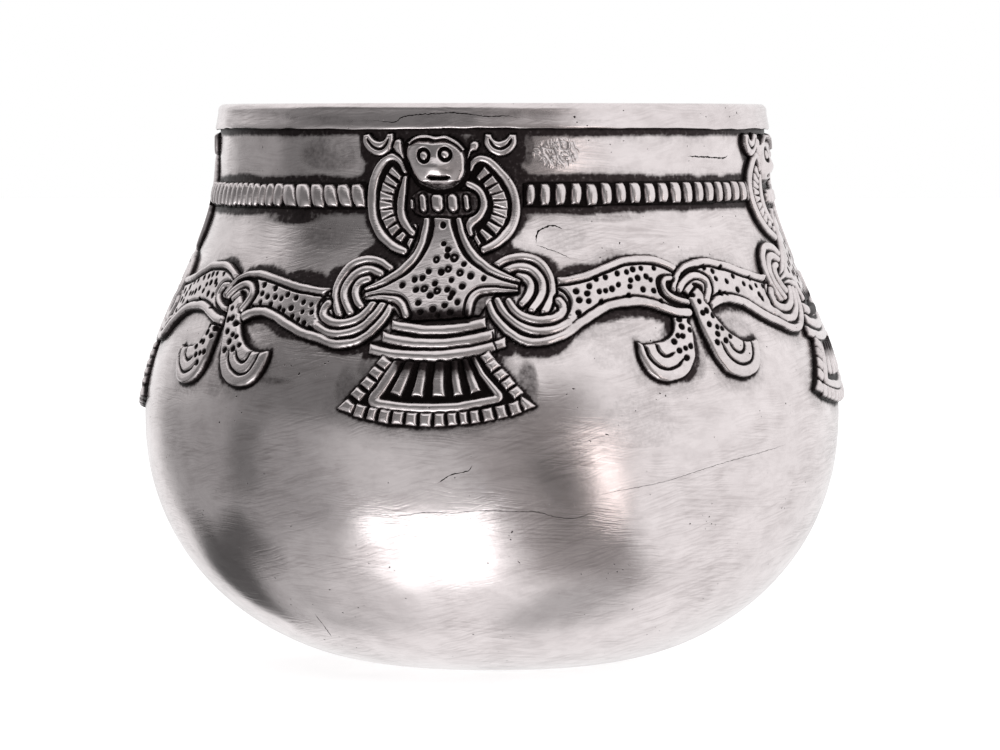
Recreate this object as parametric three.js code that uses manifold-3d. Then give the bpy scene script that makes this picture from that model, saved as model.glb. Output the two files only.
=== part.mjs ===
// Ritual bowl: a round-bellied cup raised from silver sheet. A band is folded over its lip. A
// frieze is soldered round its shoulder: four bird figures, four ribbon knots that tie them to
// each other, and four lengths of beaded wire between the wings.
// Millimetres, +Z up, origin at the centre of the base. Angle 0 faces -Y and grows towards +X.

import * as THREE from 'three';
import { mergeVertices } from 'three/addons/utils/BufferGeometryUtils.js';
import Module from 'manifold-3d';

const wasm = await Module();
wasm.setup();

// Vessel
const BELLY_RADIUS = 58;
const BELLY_LEVEL = 41.5;
const NECK_RADIUS = 45.4;
const NECK_LEVEL = 83; // the shoulder has drawn in to the straight neck here
const LIP_LEVEL = 92.5;
const FOOT_RADIUS = 13; // flat disc that the cup rests on
const ROUNDNESS = 2.1; // 2 is an elliptical bottom, more is fuller
const WALL = 1.6;
const FACETS = 48;
const BOTTOM_ROWS = 7;
const SHOULDER_ROWS = 9;

// Seat of everything that is soldered or folded onto the vessel
const SEAT_GAP = 0.3;

// Rim band, folded over the lip
const RIM_SHEET = 0.55;
const RIM_DEPTH = 4.15; // outer skirt, with its rounded top
const RIM_INNER_DEPTH = 2.6;
const RIM_EDGE = LIP_LEVEL + SEAT_GAP + RIM_SHEET - RIM_DEPTH;

// Frieze. It is drawn flat: u runs round the cup and is measured at FRIEZE_RADIUS from a figure's
// axis, and drop is the way down from the rim band's lower edge.
const REPEATS = 4;
const FRIEZE_RADIUS = 50;
const REPEAT_LENGTH = 2 * Math.PI * FRIEZE_RADIUS / REPEATS;
const FIRST_TURN = THREE.MathUtils.degToRad(-9.11); // the front figure stands a little to the left
const LEAN = -1.85; // the heads lean this far to the left
const LEAN_TOP = 1.2; // drop at which a figure has its whole lean
const LEAN_FOOT = 19.2; // drop below which it stands straight
const SAG = 1.1; // the lower frieze wanders up and down by this much round the cup
const SAG_MEAN = 0.2;
const SAG_TURN = THREE.MathUtils.degToRad(75);
const SAG_TOP = 5.2; // drop above which the frieze keeps level
const SAG_WHOLE = 19.2; // drop below which it has the whole sag

// Heights of the relief above the vessel's skin
const BACKING = 0.6;
const PLATE = 0.75;
const STRIP = 1.05;
const BEAD = 1.2;
const BROW = 1.9; // the mask's highest point

// Widths
const BORDER = 1.0; // border strips of torso, wings and ribbons
const FINE_BORDER = 0.8;
const GROOVE = 0.4;

// Sections along a band
const STEPS = {
  eye: 1, ear: 4, crescent: 8, belt: 6, ring: 8, loop: 7, ribbonLeft: 8, ribbonTail: 2, ribbonEye: 5,
  ribbonRight: 12, pendant: 9,
};
const WIDE = 2; // spans of a wide band's underside

// Clearances along the frieze
const RING_REACH = 18; // a ring and its clearance end here, and the ribbons start
const RING_CLEARANCE = 0.3;
const WING_REACH = 13.4;
const WIRE_END_GAP = 0.9;
const KNOT_LENGTH = REPEAT_LENGTH - 2 * RING_REACH;

// Beaded wire
const WIRE_DROP = 10.4;
const WIRE_WIDTH = 3.7;
const WIRE_BEADS = 18;

const silver = (color, roughness) => new THREE.MeshStandardMaterial({ color, roughness, metalness: 1 });
const SILVER_VESSEL = 0xc4bfbf;
const SILVER_RIM = 0xd2cdcc;
const SILVER_ORNAMENT = 0xaca7a6;
const VESSEL_ROUGHNESS = 0.3;
const ORNAMENT_ROUGHNESS = 0.4;

const smooth = (value) => THREE.MathUtils.smoothstep(value, 0, 1);

// Radius of the vessel's outer skin at a level.
function skinRadius(level) {
  if (level >= BELLY_LEVEL) {
    const rise = (level - BELLY_LEVEL) / (NECK_LEVEL - BELLY_LEVEL);
    return BELLY_RADIUS - (BELLY_RADIUS - NECK_RADIUS) * smooth(rise);
  }
  const below = (BELLY_LEVEL - Math.max(level, 0)) / BELLY_LEVEL;
  return FOOT_RADIUS + (BELLY_RADIUS - FOOT_RADIUS) * (1 - below ** ROUNDNESS) ** (1 / ROUNDNESS);
}

// Outward normal of the skin's profile at a level, as [radial, vertical].
function skinNormal(level) {
  const step = 0.01;
  const slope = (skinRadius(level + step) - skinRadius(level - step)) / (2 * step);
  const length = Math.hypot(1, slope);
  return [1 / length, -slope / length];
}

// How far a figure has leaned over at this drop.
function lean(drop) {
  return LEAN * smooth((LEAN_FOOT - drop) / (LEAN_FOOT - LEAN_TOP));
}

// How far the hand-laid frieze lies below its true level at this angle and drop.
function sag(angle, drop) {
  const share = smooth((drop - SAG_TOP) / (SAG_WHOLE - SAG_TOP));
  return share * (SAG * Math.cos(angle + SAG_TURN) + SAG_MEAN);
}

// A point of the frieze on the cup, standing height above the skin.
function onVessel(place, u, drop, height) {
  const leaning = place.leans ? lean(drop) : 0;
  const angle = place.turn + (place.side * u + leaning) / FRIEZE_RADIUS;
  const level = RIM_EDGE - drop - sag(angle, drop);
  const [radial, vertical] = skinNormal(level);
  const radius = skinRadius(level) + height * radial;
  return [radius * Math.sin(angle), -radius * Math.cos(angle), level + height * vertical];
}

// Closed triangles to a solid, turned so that its faces point out.
function solid(positions, triangles) {
  const corner = (index) => new THREE.Vector3().fromArray(positions, 3 * index);
  let volume = 0;
  for (let i = 0; i < triangles.length; i += 3) {
    const [a, b, c] = triangles.slice(i, i + 3).map(corner);
    volume += a.dot(b.cross(c));
  }
  const faces = volume < 0 ? triangles.slice().reverse() : triangles;
  return new wasm.Manifold(new wasm.Mesh({
    numProp: 3,
    vertProperties: new Float32Array(positions),
    triVerts: new Uint32Array(faces),
  }));
}

// A profile of [radius, level] points turned about the cup's axis.
function turned(profile) {
  const points = profile.map(([radius, level]) => new THREE.Vector2(radius, level));
  const lathe = new THREE.LatheGeometry(points, FACETS);
  lathe.rotateX(Math.PI / 2);
  lathe.deleteAttribute('normal');
  lathe.deleteAttribute('uv');
  const welded = mergeVertices(lathe);
  const triangles = [];
  const index = welded.index.array;
  for (let i = 0; i < index.length; i += 3) {
    const [a, b, c] = index.slice(i, i + 3);
    if (a !== b && b !== c && c !== a) triangles.push(a, b, c);
  }
  return solid(Array.from(welded.attributes.position.array), triangles);
}

// Plane outline of a flat section.
const flat = (section) => section.map(([u, drop]) => new THREE.Vector2(u, drop));

// Plane outline of an upright section. Its top and underside are bowed a little, so that the
// points of a straight run stay corners of the cap's triangles.
function upright(section) {
  const bow = 0.01;
  const [u0, drop0] = section[0];
  const ways = section.map(([u, drop]) => Math.hypot(u - u0, drop - drop0));
  const width = Math.max(...ways);
  return section.map(([, , height], i) => {
    const lift = bow * ways[i] * (width - ways[i]);
    return new THREE.Vector2(ways[i], height > SEAT_GAP ? height + lift : height - lift);
  });
}

// Sections of [u, drop, height] points joined into one solid with closed ends.
function loft(place, sections, inPlane = upright) {
  const count = sections[0].length;
  const positions = sections.flat().flatMap(([u, drop, height]) => onVessel(place, u, drop, height));
  const triangles = [];
  for (let row = 0; row + 1 < sections.length; row += 1) {
    for (let i = 0; i < count; i += 1) {
      const a = row * count + i;
      const b = row * count + (i + 1) % count;
      triangles.push(a, b, b + count, a, b + count, a + count);
    }
  }
  const last = (sections.length - 1) * count;
  const cap = (section) => {
    const points = inPlane(section);
    const faces = THREE.ShapeUtils.triangulateShape(points, []);
    return THREE.ShapeUtils.isClockWise(points) ? faces.map((face) => face.toReversed()) : faces;
  };
  for (const [a, b, c] of cap(sections[0])) triangles.push(c, b, a);
  for (const [a, b, c] of cap(sections.at(-1))) triangles.push(last + a, last + b, last + c);
  return solid(positions, triangles);
}

const curve = (points) => new THREE.SplineCurve(points.map(([u, drop]) => new THREE.Vector2(u, drop)));

// Straight runs between the points.
function outline(points) {
  const path = new THREE.Path(points.map(([u, drop]) => new THREE.Vector2(u, drop)));
  return { getPoint: (t) => cornerPath(path, t) };
}

// Each run of an outline takes the same share of t, so that two outlines pair point by point.
function cornerPath(path, t) {
  const runs = path.curves.length;
  const run = Math.min(Math.floor(t * runs), runs - 1);
  return path.curves[run].getPoint(t * runs - run);
}

// How much wider a strip along this edge measures on a section that crosses it askew.
function skewness(edge, t, across) {
  const step = 0.01;
  const mostSkew = 3;
  const along = edge.getPoint(Math.min(t + step, 1)).sub(edge.getPoint(Math.max(t - step, 0)));
  const area = Math.abs(along.cross(across));
  return Math.min(mostSkew, along.length() * across.length() / area);
}

// A solid between two edges. The profile gives the top of a section as [way across, height]
// points, from its width, its step and how askew it crosses each edge. A wide underside has more
// points, to follow the cup's curve.
function band(place, edges, steps, profile, across = 1) {
  const sections = [];
  for (let step = 0; step <= steps; step += 1) {
    const [start, end] = edges.map((edge) => edge.getPoint(step / steps));
    const width = start.distanceTo(end);
    const askew = edges.map((edge) => skewness(edge, step / steps, end.clone().sub(start)));
    const under = Array.from({ length: across + 1 }, (_, k) => [width * (1 - k / across), SEAT_GAP]);
    sections.push([...profile(width, step, askew), ...under].map(([way, height]) => {
      const point = start.clone().lerp(end, way / width);
      return [point.x, point.y, height];
    }));
  }
  return loft(place, sections);
}

// The two edges of a strip of one width along a curve.
function stripEdges(path, width) {
  const edge = (side) => ({
    getPoint: (t) => {
      const tangent = path.getTangent(t);
      const offset = new THREE.Vector2(-tangent.y, tangent.x).multiplyScalar(side * width / 2);
      return path.getPoint(t).add(offset);
    },
  });
  return [edge(1), edge(-1)];
}

// Cross-sections
const slab = (height) => (width) => [[0, height], [width, height]];

// A plate with a raised border along each edge. All of it narrows where the plate is narrow.
const bordered = (startBorder, endBorder, height = PLATE) => (width, step, [startSkew, endSkew]) => {
  const first = startBorder * startSkew;
  const second = endBorder * endSkew;
  const fit = Math.min(1, width / (first + second + 3 * GROOVE));
  return [
    [0, STRIP],
    [first * fit, STRIP],
    [(first + GROOVE) * fit, height],
    [width - (second + GROOVE) * fit, height],
    [width - second * fit, STRIP],
    [width, STRIP],
  ];
};

// Teeth across a band: even steps are notches and odd steps are crests.
const toothed = (notch, crest) => (width, step, askew) => (
  step % 2 ? crest(width, step, askew) : notch(width, step, askew)
);

function threeStrands(width) {
  const strand = (width - 2 * GROOVE) / 3;
  const top = [[0, STRIP]];
  for (const k of [1, 2]) {
    const end = k * strand + (k - 1) * GROOVE;
    top.push([end, STRIP], [end + GROOVE / 2, BACKING], [end + GROOVE, STRIP]);
  }
  top.push([width, STRIP]);
  return top;
}

const strip = (place, points, width, steps, height = STRIP) => (
  band(place, stripEdges(curve(points), width), steps, slab(height))
);

// What lies beside a ring keeps with it: a place in hundredths of the way out to the ring's end.
const toRing = (share) => share / 100 * (RING_REACH - RING_CLEARANCE);
const onRing = (points) => points.map(([share, drop]) => [toRing(share), drop]);

const mirrored = (points) => points.map(([u, drop]) => [-u, drop]).reverse();

const joined = (pieces) => pieces.reduce((whole, piece) => whole.add(piece));

// Vessel: outer skin up to the lip, then back down inside it.
function vesselBody() {
  const levels = [];
  for (let row = 0; row < BOTTOM_ROWS; row += 1) {
    const turn = row / BOTTOM_ROWS * Math.PI / 2;
    levels.push(BELLY_LEVEL * (1 - Math.cos(turn) ** (2 / ROUNDNESS)));
  }
  for (let row = 0; row <= SHOULDER_ROWS; row += 1) {
    levels.push(THREE.MathUtils.lerp(BELLY_LEVEL, NECK_LEVEL, row / SHOULDER_ROWS));
  }
  const outside = [[0, 0], ...levels.map((level) => [skinRadius(level), level]), [NECK_RADIUS, LIP_LEVEL]];
  const inside = [[NECK_RADIUS - WALL, LIP_LEVEL]];
  const innerLevels = levels.filter((_, row) => row % 2 === 1);
  for (const level of innerLevels.reverse()) {
    const [radial, vertical] = skinNormal(level);
    inside.push([skinRadius(level) - WALL * radial, level - WALL * vertical]);
  }
  inside.push([FOOT_RADIUS, WALL], [0, WALL]);
  return turned([...outside, ...inside]);
}

// Rim band: a channel with a rounded top that clears the lip by the seat's gap on all sides.
function rimBand() {
  const outer = NECK_RADIUS + SEAT_GAP;
  const inner = NECK_RADIUS - WALL - SEAT_GAP;
  const under = LIP_LEVEL + SEAT_GAP;
  const top = under + RIM_SHEET;
  const innerEdge = under - RIM_INNER_DEPTH;
  const profile = [
    [outer, RIM_EDGE],
    [outer + RIM_SHEET, RIM_EDGE],
    [outer + RIM_SHEET, under - RIM_SHEET],
    [outer, top],
    [inner, top],
    [inner - RIM_SHEET, under - RIM_SHEET],
    [inner - RIM_SHEET, innerEdge],
    [inner, innerEdge],
    [inner, under],
    [outer, under],
    [outer, RIM_EDGE],
  ];
  return turned(profile);
}

// Mask: a domed plate with a brow strip, two eyes and two drop-shaped ears on one backing.
const MASK_SHIFT = -0.35; // the face sits a little further over than its lean
const MASK_MIDDLE_DROP = 5.1;
const MASK_CHIN_DROP = 8.6;
const MASK_EDGE = [[0, 1.9], [2.7, 2], [4.2, 2.5], [5, 3.8], [4.7, 5.6], [3.7, 7.2], [2, 8.3]];
const MASK_RINGS = [[1, PLATE], [0.6, BROW]]; // share of the edge's distance, height
const EYE_OUT = 1.85;
const EYE_DROP = 4;
const EYE_SIZE = 1.5;
const EYE_HEIGHT = 2.2;
const EAR_OUTER = [[3.6, 3.8], [6.4, 3.7], [7.5, 3], [7.4, 1.7]];
const EAR_INNER = [[3.6, 3.3], [5.8, 3.3], [6.1, 2.6], [6.1, 1.8]];

function mask(place) {
  const edge = [...MASK_EDGE, [0, MASK_CHIN_DROP], ...mirrored(MASK_EDGE.slice(1))];
  const ring = (share, height) => edge.map(([u, drop]) => [
    MASK_SHIFT + u * share,
    MASK_MIDDLE_DROP + (drop - MASK_MIDDLE_DROP) * share,
    height,
  ]);
  const rings = [ring(1, SEAT_GAP), ...MASK_RINGS.map(([share, height]) => ring(share, height))];
  const pieces = [loft(place, rings, flat)];
  for (const side of [-1, 1]) {
    const middle = MASK_SHIFT + side * EYE_OUT;
    const eye = [[middle - EYE_SIZE / 2, EYE_DROP], [middle + EYE_SIZE / 2, EYE_DROP]];
    pieces.push(strip(place, eye, EYE_SIZE, STEPS.eye, EYE_HEIGHT));
    const ear = [EAR_OUTER, EAR_INNER].map((edge) => curve(edge.map(([u, drop]) => [side * u, drop])));
    pieces.push(band(place, ear, STEPS.ear, slab(STRIP)));
  }
  return joined(pieces);
}

// Crescent beside the head, points up.
const CRESCENT_OUTER = [
  [8.6, 1], [8.35, 2.3], [9.3, 3.6], [10.95, 4.15], [12.6, 3.6], [13.55, 2.3], [13.3, 1],
];
const CRESCENT_INNER = [
  [9.3, 1], [9.7, 1.5], [10.3, 1.8], [10.95, 1.9], [11.6, 1.8], [12.2, 1.5], [12.6, 1],
];

function crescent(place) {
  return band(place, [curve(CRESCENT_OUTER), curve(CRESCENT_INNER)], STEPS.crescent, slab(STRIP));
}

// Wing: a C-shaped plate between an outer and an inner border, with a fan of bars across it.
const WING_OUTER = [
  [5.6, 5.9], [7.4, 4], [9.9, 4.6], [11.8, 6.4], [13.1, 8.8], [WING_REACH, 11.2],
  [13.1, 13.3], [12.2, 15.5], [10.5, 17.6], [8.6, 18.9], [6.7, 19.5],
];
const WING_INNER = [
  [4.9, 8.3], [5.9, 8.9], [6.4, 9.8], [6.6, 10.8], [6.65, 11.4], [6.6, 12.1],
  [6.2, 12.9], [5.4, 13.5], [4.6, 14.1], [4.6, 15.6], [5.6, 18.2],
];
const LADDER_BARS = 9;

function wing(place) {
  const notch = bordered(BORDER, FINE_BORDER, BACKING);
  const crest = bordered(BORDER, FINE_BORDER, STRIP);
  return band(place, [curve(WING_OUTER), curve(WING_INNER)], 2 * LADDER_BARS, toothed(notch, crest));
}

// Torso: a bell-shaped plate that draws out to a tip each side, with border strips above and
// arched strips below, and a beaded collar at its neck.
const TORSO_TOP = [[3.35, 13.5], [3.9, 15.9], [5.7, 19], ...onRing([[48.6, 21.5], [65.5, 23.3]])];
const TORSO_BOTTOM = [[4.9, 29], [5.1, 27.3], ...onRing([[36.2, 25.9], [49.7, 25.8], [65.5, 25.7]])];
const COLLAR_SHIFT = -0.3;
const COLLAR_DROP = 11.6;
const COLLAR_REACH = 5.4;
const COLLAR_BEADS = 5;
const COLLAR_HALF = 2.2; // half its height in the middle
const COLLAR_END_HALF = 1;

// The collar's upper or lower edge, drawn in to both ends.
function collarEdge(side) {
  const half = COLLAR_HALF - COLLAR_END_HALF;
  return {
    getPoint: (t) => {
      const out = 2 * t - 1;
      const reach = COLLAR_END_HALF + half * Math.sqrt(1 - out * out);
      return new THREE.Vector2(COLLAR_SHIFT + COLLAR_REACH * out, COLLAR_DROP + side * reach);
    },
  };
}

function torso(place) {
  const top = outline([...mirrored(TORSO_TOP), [0, TORSO_TOP[0][1]], ...TORSO_TOP]);
  const bottom = outline([...mirrored(TORSO_BOTTOM), [0, TORSO_BOTTOM[0][1]], ...TORSO_BOTTOM]);
  const collar = [collarEdge(-1), collarEdge(1)];
  return joined([
    band(place, [top, bottom], 2 * TORSO_TOP.length, bordered(BORDER, FINE_BORDER), WIDE),
    band(place, collar, 2 * COLLAR_BEADS, toothed(slab(BACKING), slab(BEAD))),
  ]);
}

// Tail: three belt bars over a fan of ribs. A frame and a row of square blocks close the fan
// below, and a row of blocks runs down each side.
const BELT_TOP = [toRing(40.4), 30.3]; // half its length, and its upper edge on the axis
const BELT_FOOT = [toRing(55.4), 35.5];
const BELT_BEND = 0.0205; // rise of an edge over the square of u
const FAN_TOP = [6, 35.1];
const FAN_FOOT = [11.6, 45.8];
const FAN_BEND = 0.0143;
const FAN_RIBS = 7; // with the frame's two sides
const BLOCKS_PER_RIB = 2;
const BLOCK_ROW = 2; // height of the row of blocks
const BLOCK = 1.15; // the blocks stand a little higher than the strips
const BLOCK_NOTCH = 0.65;
const SIDE_INNER = [[6.4, 35.6], [11.2, 43.3]];
const SIDE_OUTER = [[7.9, 34.6], [13.8, 42.6]];
const SIDE_BLOCKS = { left: 5, right: 6 };

// An edge across the tail that rises towards both ends.
const rising = ([half, drop], bend) => ({
  getPoint: (t) => {
    const u = half * (2 * t - 1);
    return new THREE.Vector2(u, drop - bend * u * u);
  },
});

// Section of the fan: rib or groove, then the frame, then a block or the notch beside it.
function fanProfile(width, step) {
  const steps = 2 * BLOCKS_PER_RIB;
  const toRib = 1 - Math.abs(step % steps - steps / 2) / (steps / 2);
  const rib = THREE.MathUtils.lerp(BACKING, STRIP, toRib);
  const block = step % 2 ? BLOCK : BLOCK_NOTCH;
  const frame = width - BLOCK_ROW - GROOVE - BORDER;
  return [
    [0, rib],
    [frame - GROOVE, rib],
    [frame, STRIP],
    [frame + BORDER, STRIP],
    [frame + BORDER + GROOVE, block],
    [width, block],
  ];
}

function tailFan(place) {
  const belt = [rising(BELT_TOP, BELT_BEND), rising(BELT_FOOT, BELT_BEND)];
  const fan = [rising(FAN_TOP, 0), rising(FAN_FOOT, FAN_BEND)];
  const blocks = toothed(slab(BLOCK_NOTCH), slab(BLOCK));
  const sides = [[-1, SIDE_BLOCKS.left], [1, SIDE_BLOCKS.right]].map(([side, count]) => {
    const edges = [SIDE_INNER, SIDE_OUTER].map((edge) => curve(edge.map(([u, drop]) => [side * u, drop])));
    return band(place, edges, 2 * count, blocks);
  });
  return joined([
    band(place, belt, STEPS.belt, threeStrands),
    band(place, fan, 2 * FAN_RIBS * BLOCKS_PER_RIB, fanProfile, WIDE),
    ...sides,
  ]);
}

// Ring: three strands side by side that hold a ribbon's loop at the torso's tip.
const RING_OUTER = [
  [51.4, 20.5], [59.9, 19.6], [70.1, 19.4], [81.9, 19.8], [92.1, 21], [97.7, 22.6], [100, 24.5],
  [98.9, 26.3], [92.7, 28.4],
];
const RING_INNER = [
  [69.5, 23.3], [71.8, 23.5], [73.4, 23.8], [74.6, 24.2], [75.1, 24.6], [74.9, 25.1], [74, 25.6],
  [72.3, 26.2], [69.5, 27],
];

function ring(place) {
  const edges = [curve(onRing(RING_OUTER)), curve(onRing(RING_INNER))];
  return band(place, edges, STEPS.ring, threeStrands);
}

// Knot. Its first numbers are hundredths of the way from one figure's ring to the next one's.
const onKnot = (points) => points.map(([share, drop]) => [RING_REACH + share / 100 * KNOT_LENGTH, drop]);

// A ribbon loops under the ring and runs up to the knot. The loop is drawn at the figure.
const LOOP_OUTER = [
  [40.1, 27], [42.4, 28.7], [47.5, 30.2], [54.8, 31.8], [63.8, 33], [72.9, 33.6], [81.9, 33.75],
  [93.8, 33.45], [101.7, 33],
];
const LOOP_INNER = [
  [61, 27.1], [63.3, 27.9], [66.7, 28.4], [71.2, 28.85], [76.3, 29.2], [81.4, 29.45],
  [86.4, 29.55], [92.7, 29.4], [99.4, 28.7],
];
const LOOP = [curve(onRing(LOOP_OUTER)), curve(onRing(LOOP_INNER))];

const LEFT_TOP = [
  [0.5, 23.35], [7.5, 23], [14.6, 22.2], [21.6, 21.2], [28.7, 20.5], [35.7, 20.4], [42.8, 21],
  [47, 21.9],
];
const LEFT_BOTTOM = [
  [-1.6, 33.2], [5.2, 31.7], [12.2, 30], [19.3, 28.7], [26.3, 28.3], [34.1, 28.5], [40, 29.3],
  [43.7, 30],
];
const LEFT_TAIL = [[39.5, 28.7], [45.1, 29.55], [50.3, 29.95]];
const LEFT_EYE = [
  [44.9, 24.2], [43, 24.3], [41.7, 25.2], [42.2, 26.2], [44.3, 27], [47.5, 27.7], [50.3, 28.1],
];

function ribbonLeft(figure, knot) {
  const edges = [curve(onKnot(LEFT_TOP)), curve(onKnot(LEFT_BOTTOM))];
  return joined([
    band(figure, LOOP, STEPS.loop, threeStrands),
    band(knot, edges, STEPS.ribbonLeft, bordered(FINE_BORDER, BORDER)),
    strip(knot, onKnot(LEFT_TAIL), BORDER, STEPS.ribbonTail),
    strip(knot, onKnot(LEFT_EYE), FINE_BORDER, STEPS.ribbonEye),
  ]);
}

const RIGHT_TOP = [
  [48, 25.2], [49.4, 23.6], [51.5, 22.4], [54.5, 21.5], [58.8, 21], [63.5, 20.85], [68.2, 21],
  [73.3, 21.4], [78.5, 21.9], [83.7, 22.5], [89.3, 23.3], [94.7, 24], [99.4, 24.4],
];
const RIGHT_BOTTOM = [
  [49.8, 26.3], [51.5, 25.8], [53.8, 25.1], [56.4, 24.7], [59, 24.7], [60.6, 25.4], [60.9, 26.6],
  [61.4, 28.9], [67, 28.6], [72.9, 28.6], [79.9, 29.5], [89.3, 31.4], [101.6, 33.1],
];

function ribbonRight(nextFigure, knot) {
  const edges = [curve(onKnot(RIGHT_TOP)), curve(onKnot(RIGHT_BOTTOM))];
  return joined([
    band(nextFigure, LOOP, STEPS.loop, threeStrands),
    band(knot, edges, STEPS.ribbonRight, bordered(FINE_BORDER, BORDER)),
  ]);
}

// Pendants: the ribbons' ends hang below the knot and curl outwards to a flat tip.
const PENDANT_LEFT_OUTER = [
  [49.6, 30.9], [49.4, 32.8], [48.9, 35], [47.5, 37], [44.7, 38.7], [40.7, 39.7], [36.2, 40.1],
  [31.5, 39.5], [28, 37.9], [26.1, 35.7], [25.9, 33.7],
];
const PENDANT_LEFT_INNER = [
  [43.7, 30.9], [43, 31.5], [42.1, 32.2], [40.9, 32.8], [39.5, 33.3], [37.8, 33.6], [36.2, 33.7],
  [34.8, 33.7], [33.4, 33.7], [32, 33.7], [31, 33.7],
];
const PENDANT_RIGHT_OUTER = [
  [52.2, 27], [53.1, 29.6], [54.1, 32.2], [55.7, 34.7], [57.8, 37], [60.9, 38.8], [64.6, 39.7],
  [68.6, 39.9], [72.9, 39.4], [75.9, 38.1], [77.6, 36.2], [77.8, 33.8],
];
const PENDANT_RIGHT_INNER = [
  [55.9, 25.9], [58.8, 27.6], [60.4, 29.2], [62.5, 31], [64.2, 32.1], [66.1, 33], [67.9, 33.5],
  [69.3, 33.7], [70.5, 33.7], [71.5, 33.7], [72.4, 33.7], [73.3, 33.7],
];

function pendant(knot, outer, inner) {
  return band(knot, [curve(onKnot(outer)), curve(onKnot(inner))], STEPS.pendant, threeStrands);
}

// Beaded wire between one figure's right wing and the next one's left wing.
function beadedWire(place) {
  const start = WING_REACH + WIRE_END_GAP + lean(WIRE_DROP);
  const end = REPEAT_LENGTH - WING_REACH - WIRE_END_GAP + lean(WIRE_DROP);
  const edge = (side) => {
    const drop = WIRE_DROP + side * WIRE_WIDTH / 2;
    return curve([[start, drop], [end, drop]]);
  };
  return band(place, [edge(-1), edge(1)], 2 * WIRE_BEADS, toothed(slab(PLATE), slab(BEAD)));
}

// A named mesh of a solid.
function node(name, shape, color, roughness) {
  const { vertProperties, triVerts } = shape.getMesh();
  const geometry = new THREE.BufferGeometry();
  geometry.setAttribute('position', new THREE.BufferAttribute(new Float32Array(vertProperties), 3));
  geometry.setIndex(new THREE.BufferAttribute(new Uint32Array(triVerts), 1));
  geometry.computeVertexNormals();
  const mesh = new THREE.Mesh(geometry, silver(color, roughness));
  mesh.name = name;
  return mesh;
}

const bowl = new THREE.Group();
bowl.add(node('vessel_body', vesselBody(), SILVER_VESSEL, VESSEL_ROUGHNESS));
bowl.add(node('rim_band', rimBand(), SILVER_RIM, VESSEL_ROUGHNESS));

const ornament = (name, shape) => bowl.add(node(name, shape, SILVER_ORNAMENT, ORNAMENT_ROUGHNESS));

for (let index = 0; index < REPEATS; index += 1) {
  const turn = FIRST_TURN + index * REPEAT_LENGTH / FRIEZE_RADIUS;
  const nextTurn = turn + REPEAT_LENGTH / FRIEZE_RADIUS;
  const level = (side) => ({ turn, side, leans: false });
  const leaning = (side) => ({ turn, side, leans: true });
  const figure = `figure_${index + 1}`;
  ornament(`${figure}_mask`, mask(leaning(1)));
  ornament(`${figure}_torso`, torso(leaning(1)));
  ornament(`${figure}_tail_fan`, tailFan(level(1)));
  for (const [name, side] of [['left', -1], ['right', 1]]) {
    ornament(`${figure}_crescent_${name}`, crescent(leaning(side)));
    ornament(`${figure}_wing_${name}`, wing(leaning(side)));
    ornament(`${figure}_ring_${name}`, ring(level(side)));
  }
  const knot = `knot_${index + 1}`;
  const nextFigure = { turn: nextTurn, side: -1, leans: false };
  ornament(`${knot}_ribbon_left`, ribbonLeft(level(1), level(1)));
  ornament(`${knot}_ribbon_right`, ribbonRight(nextFigure, level(1)));
  ornament(`${knot}_pendant_left`, pendant(level(1), PENDANT_LEFT_OUTER, PENDANT_LEFT_INNER));
  ornament(`${knot}_pendant_right`, pendant(level(1), PENDANT_RIGHT_OUTER, PENDANT_RIGHT_INNER));
  ornament(`beaded_wire_${index + 1}`, beadedWire(level(1)));
}

export default bowl;
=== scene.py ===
import math

import bpy
import numpy as np
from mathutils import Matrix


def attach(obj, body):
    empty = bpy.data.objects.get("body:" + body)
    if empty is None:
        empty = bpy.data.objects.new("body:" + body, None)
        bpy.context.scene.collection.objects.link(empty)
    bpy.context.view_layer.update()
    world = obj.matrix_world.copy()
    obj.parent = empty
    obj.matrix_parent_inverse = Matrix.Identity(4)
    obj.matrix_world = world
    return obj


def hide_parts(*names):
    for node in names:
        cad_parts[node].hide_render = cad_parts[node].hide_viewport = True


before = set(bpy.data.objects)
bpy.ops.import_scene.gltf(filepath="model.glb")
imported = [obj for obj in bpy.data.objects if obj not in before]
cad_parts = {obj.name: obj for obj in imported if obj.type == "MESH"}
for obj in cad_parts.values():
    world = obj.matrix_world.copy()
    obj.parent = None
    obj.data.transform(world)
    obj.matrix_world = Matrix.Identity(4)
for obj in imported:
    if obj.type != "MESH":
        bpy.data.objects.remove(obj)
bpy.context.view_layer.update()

# The cup's sizes in millimetres, as in the part
MM = 0.001
BELLY_RADIUS = 58.0
BELLY_LEVEL = 41.5
NECK_RADIUS = 45.4
NECK_LEVEL = 83.0
LIP_LEVEL = 92.5
FOOT_RADIUS = 13.0
ROUNDNESS = 2.1
WALL = 1.6
RIM_SHEET = 0.55
RIM_TOP = 93.35
RIM_EDGE = 89.2
RIM_INNER_EDGE = 90.2
SEAT_GAP = 0.3

# The frieze is drawn flat. u runs round the cup and is measured at FRIEZE_RADIUS from a figure's
# axis. The level is the height above the table, before the hand-laid frieze wanders.
REPEATS = 4
FRIEZE_RADIUS = 50.0
QUARTER = math.pi / 2 * FRIEZE_RADIUS
FIRST_TURN = math.radians(-9.11)
LEAN = -1.85
LEAN_TOP = 88.0
LEAN_FOOT = 70.0
SAG = 1.1
SAG_MEAN = 0.2
SAG_TURN = math.radians(75)
SAG_TOP = 84.0
SAG_WHOLE = 70.0

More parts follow.
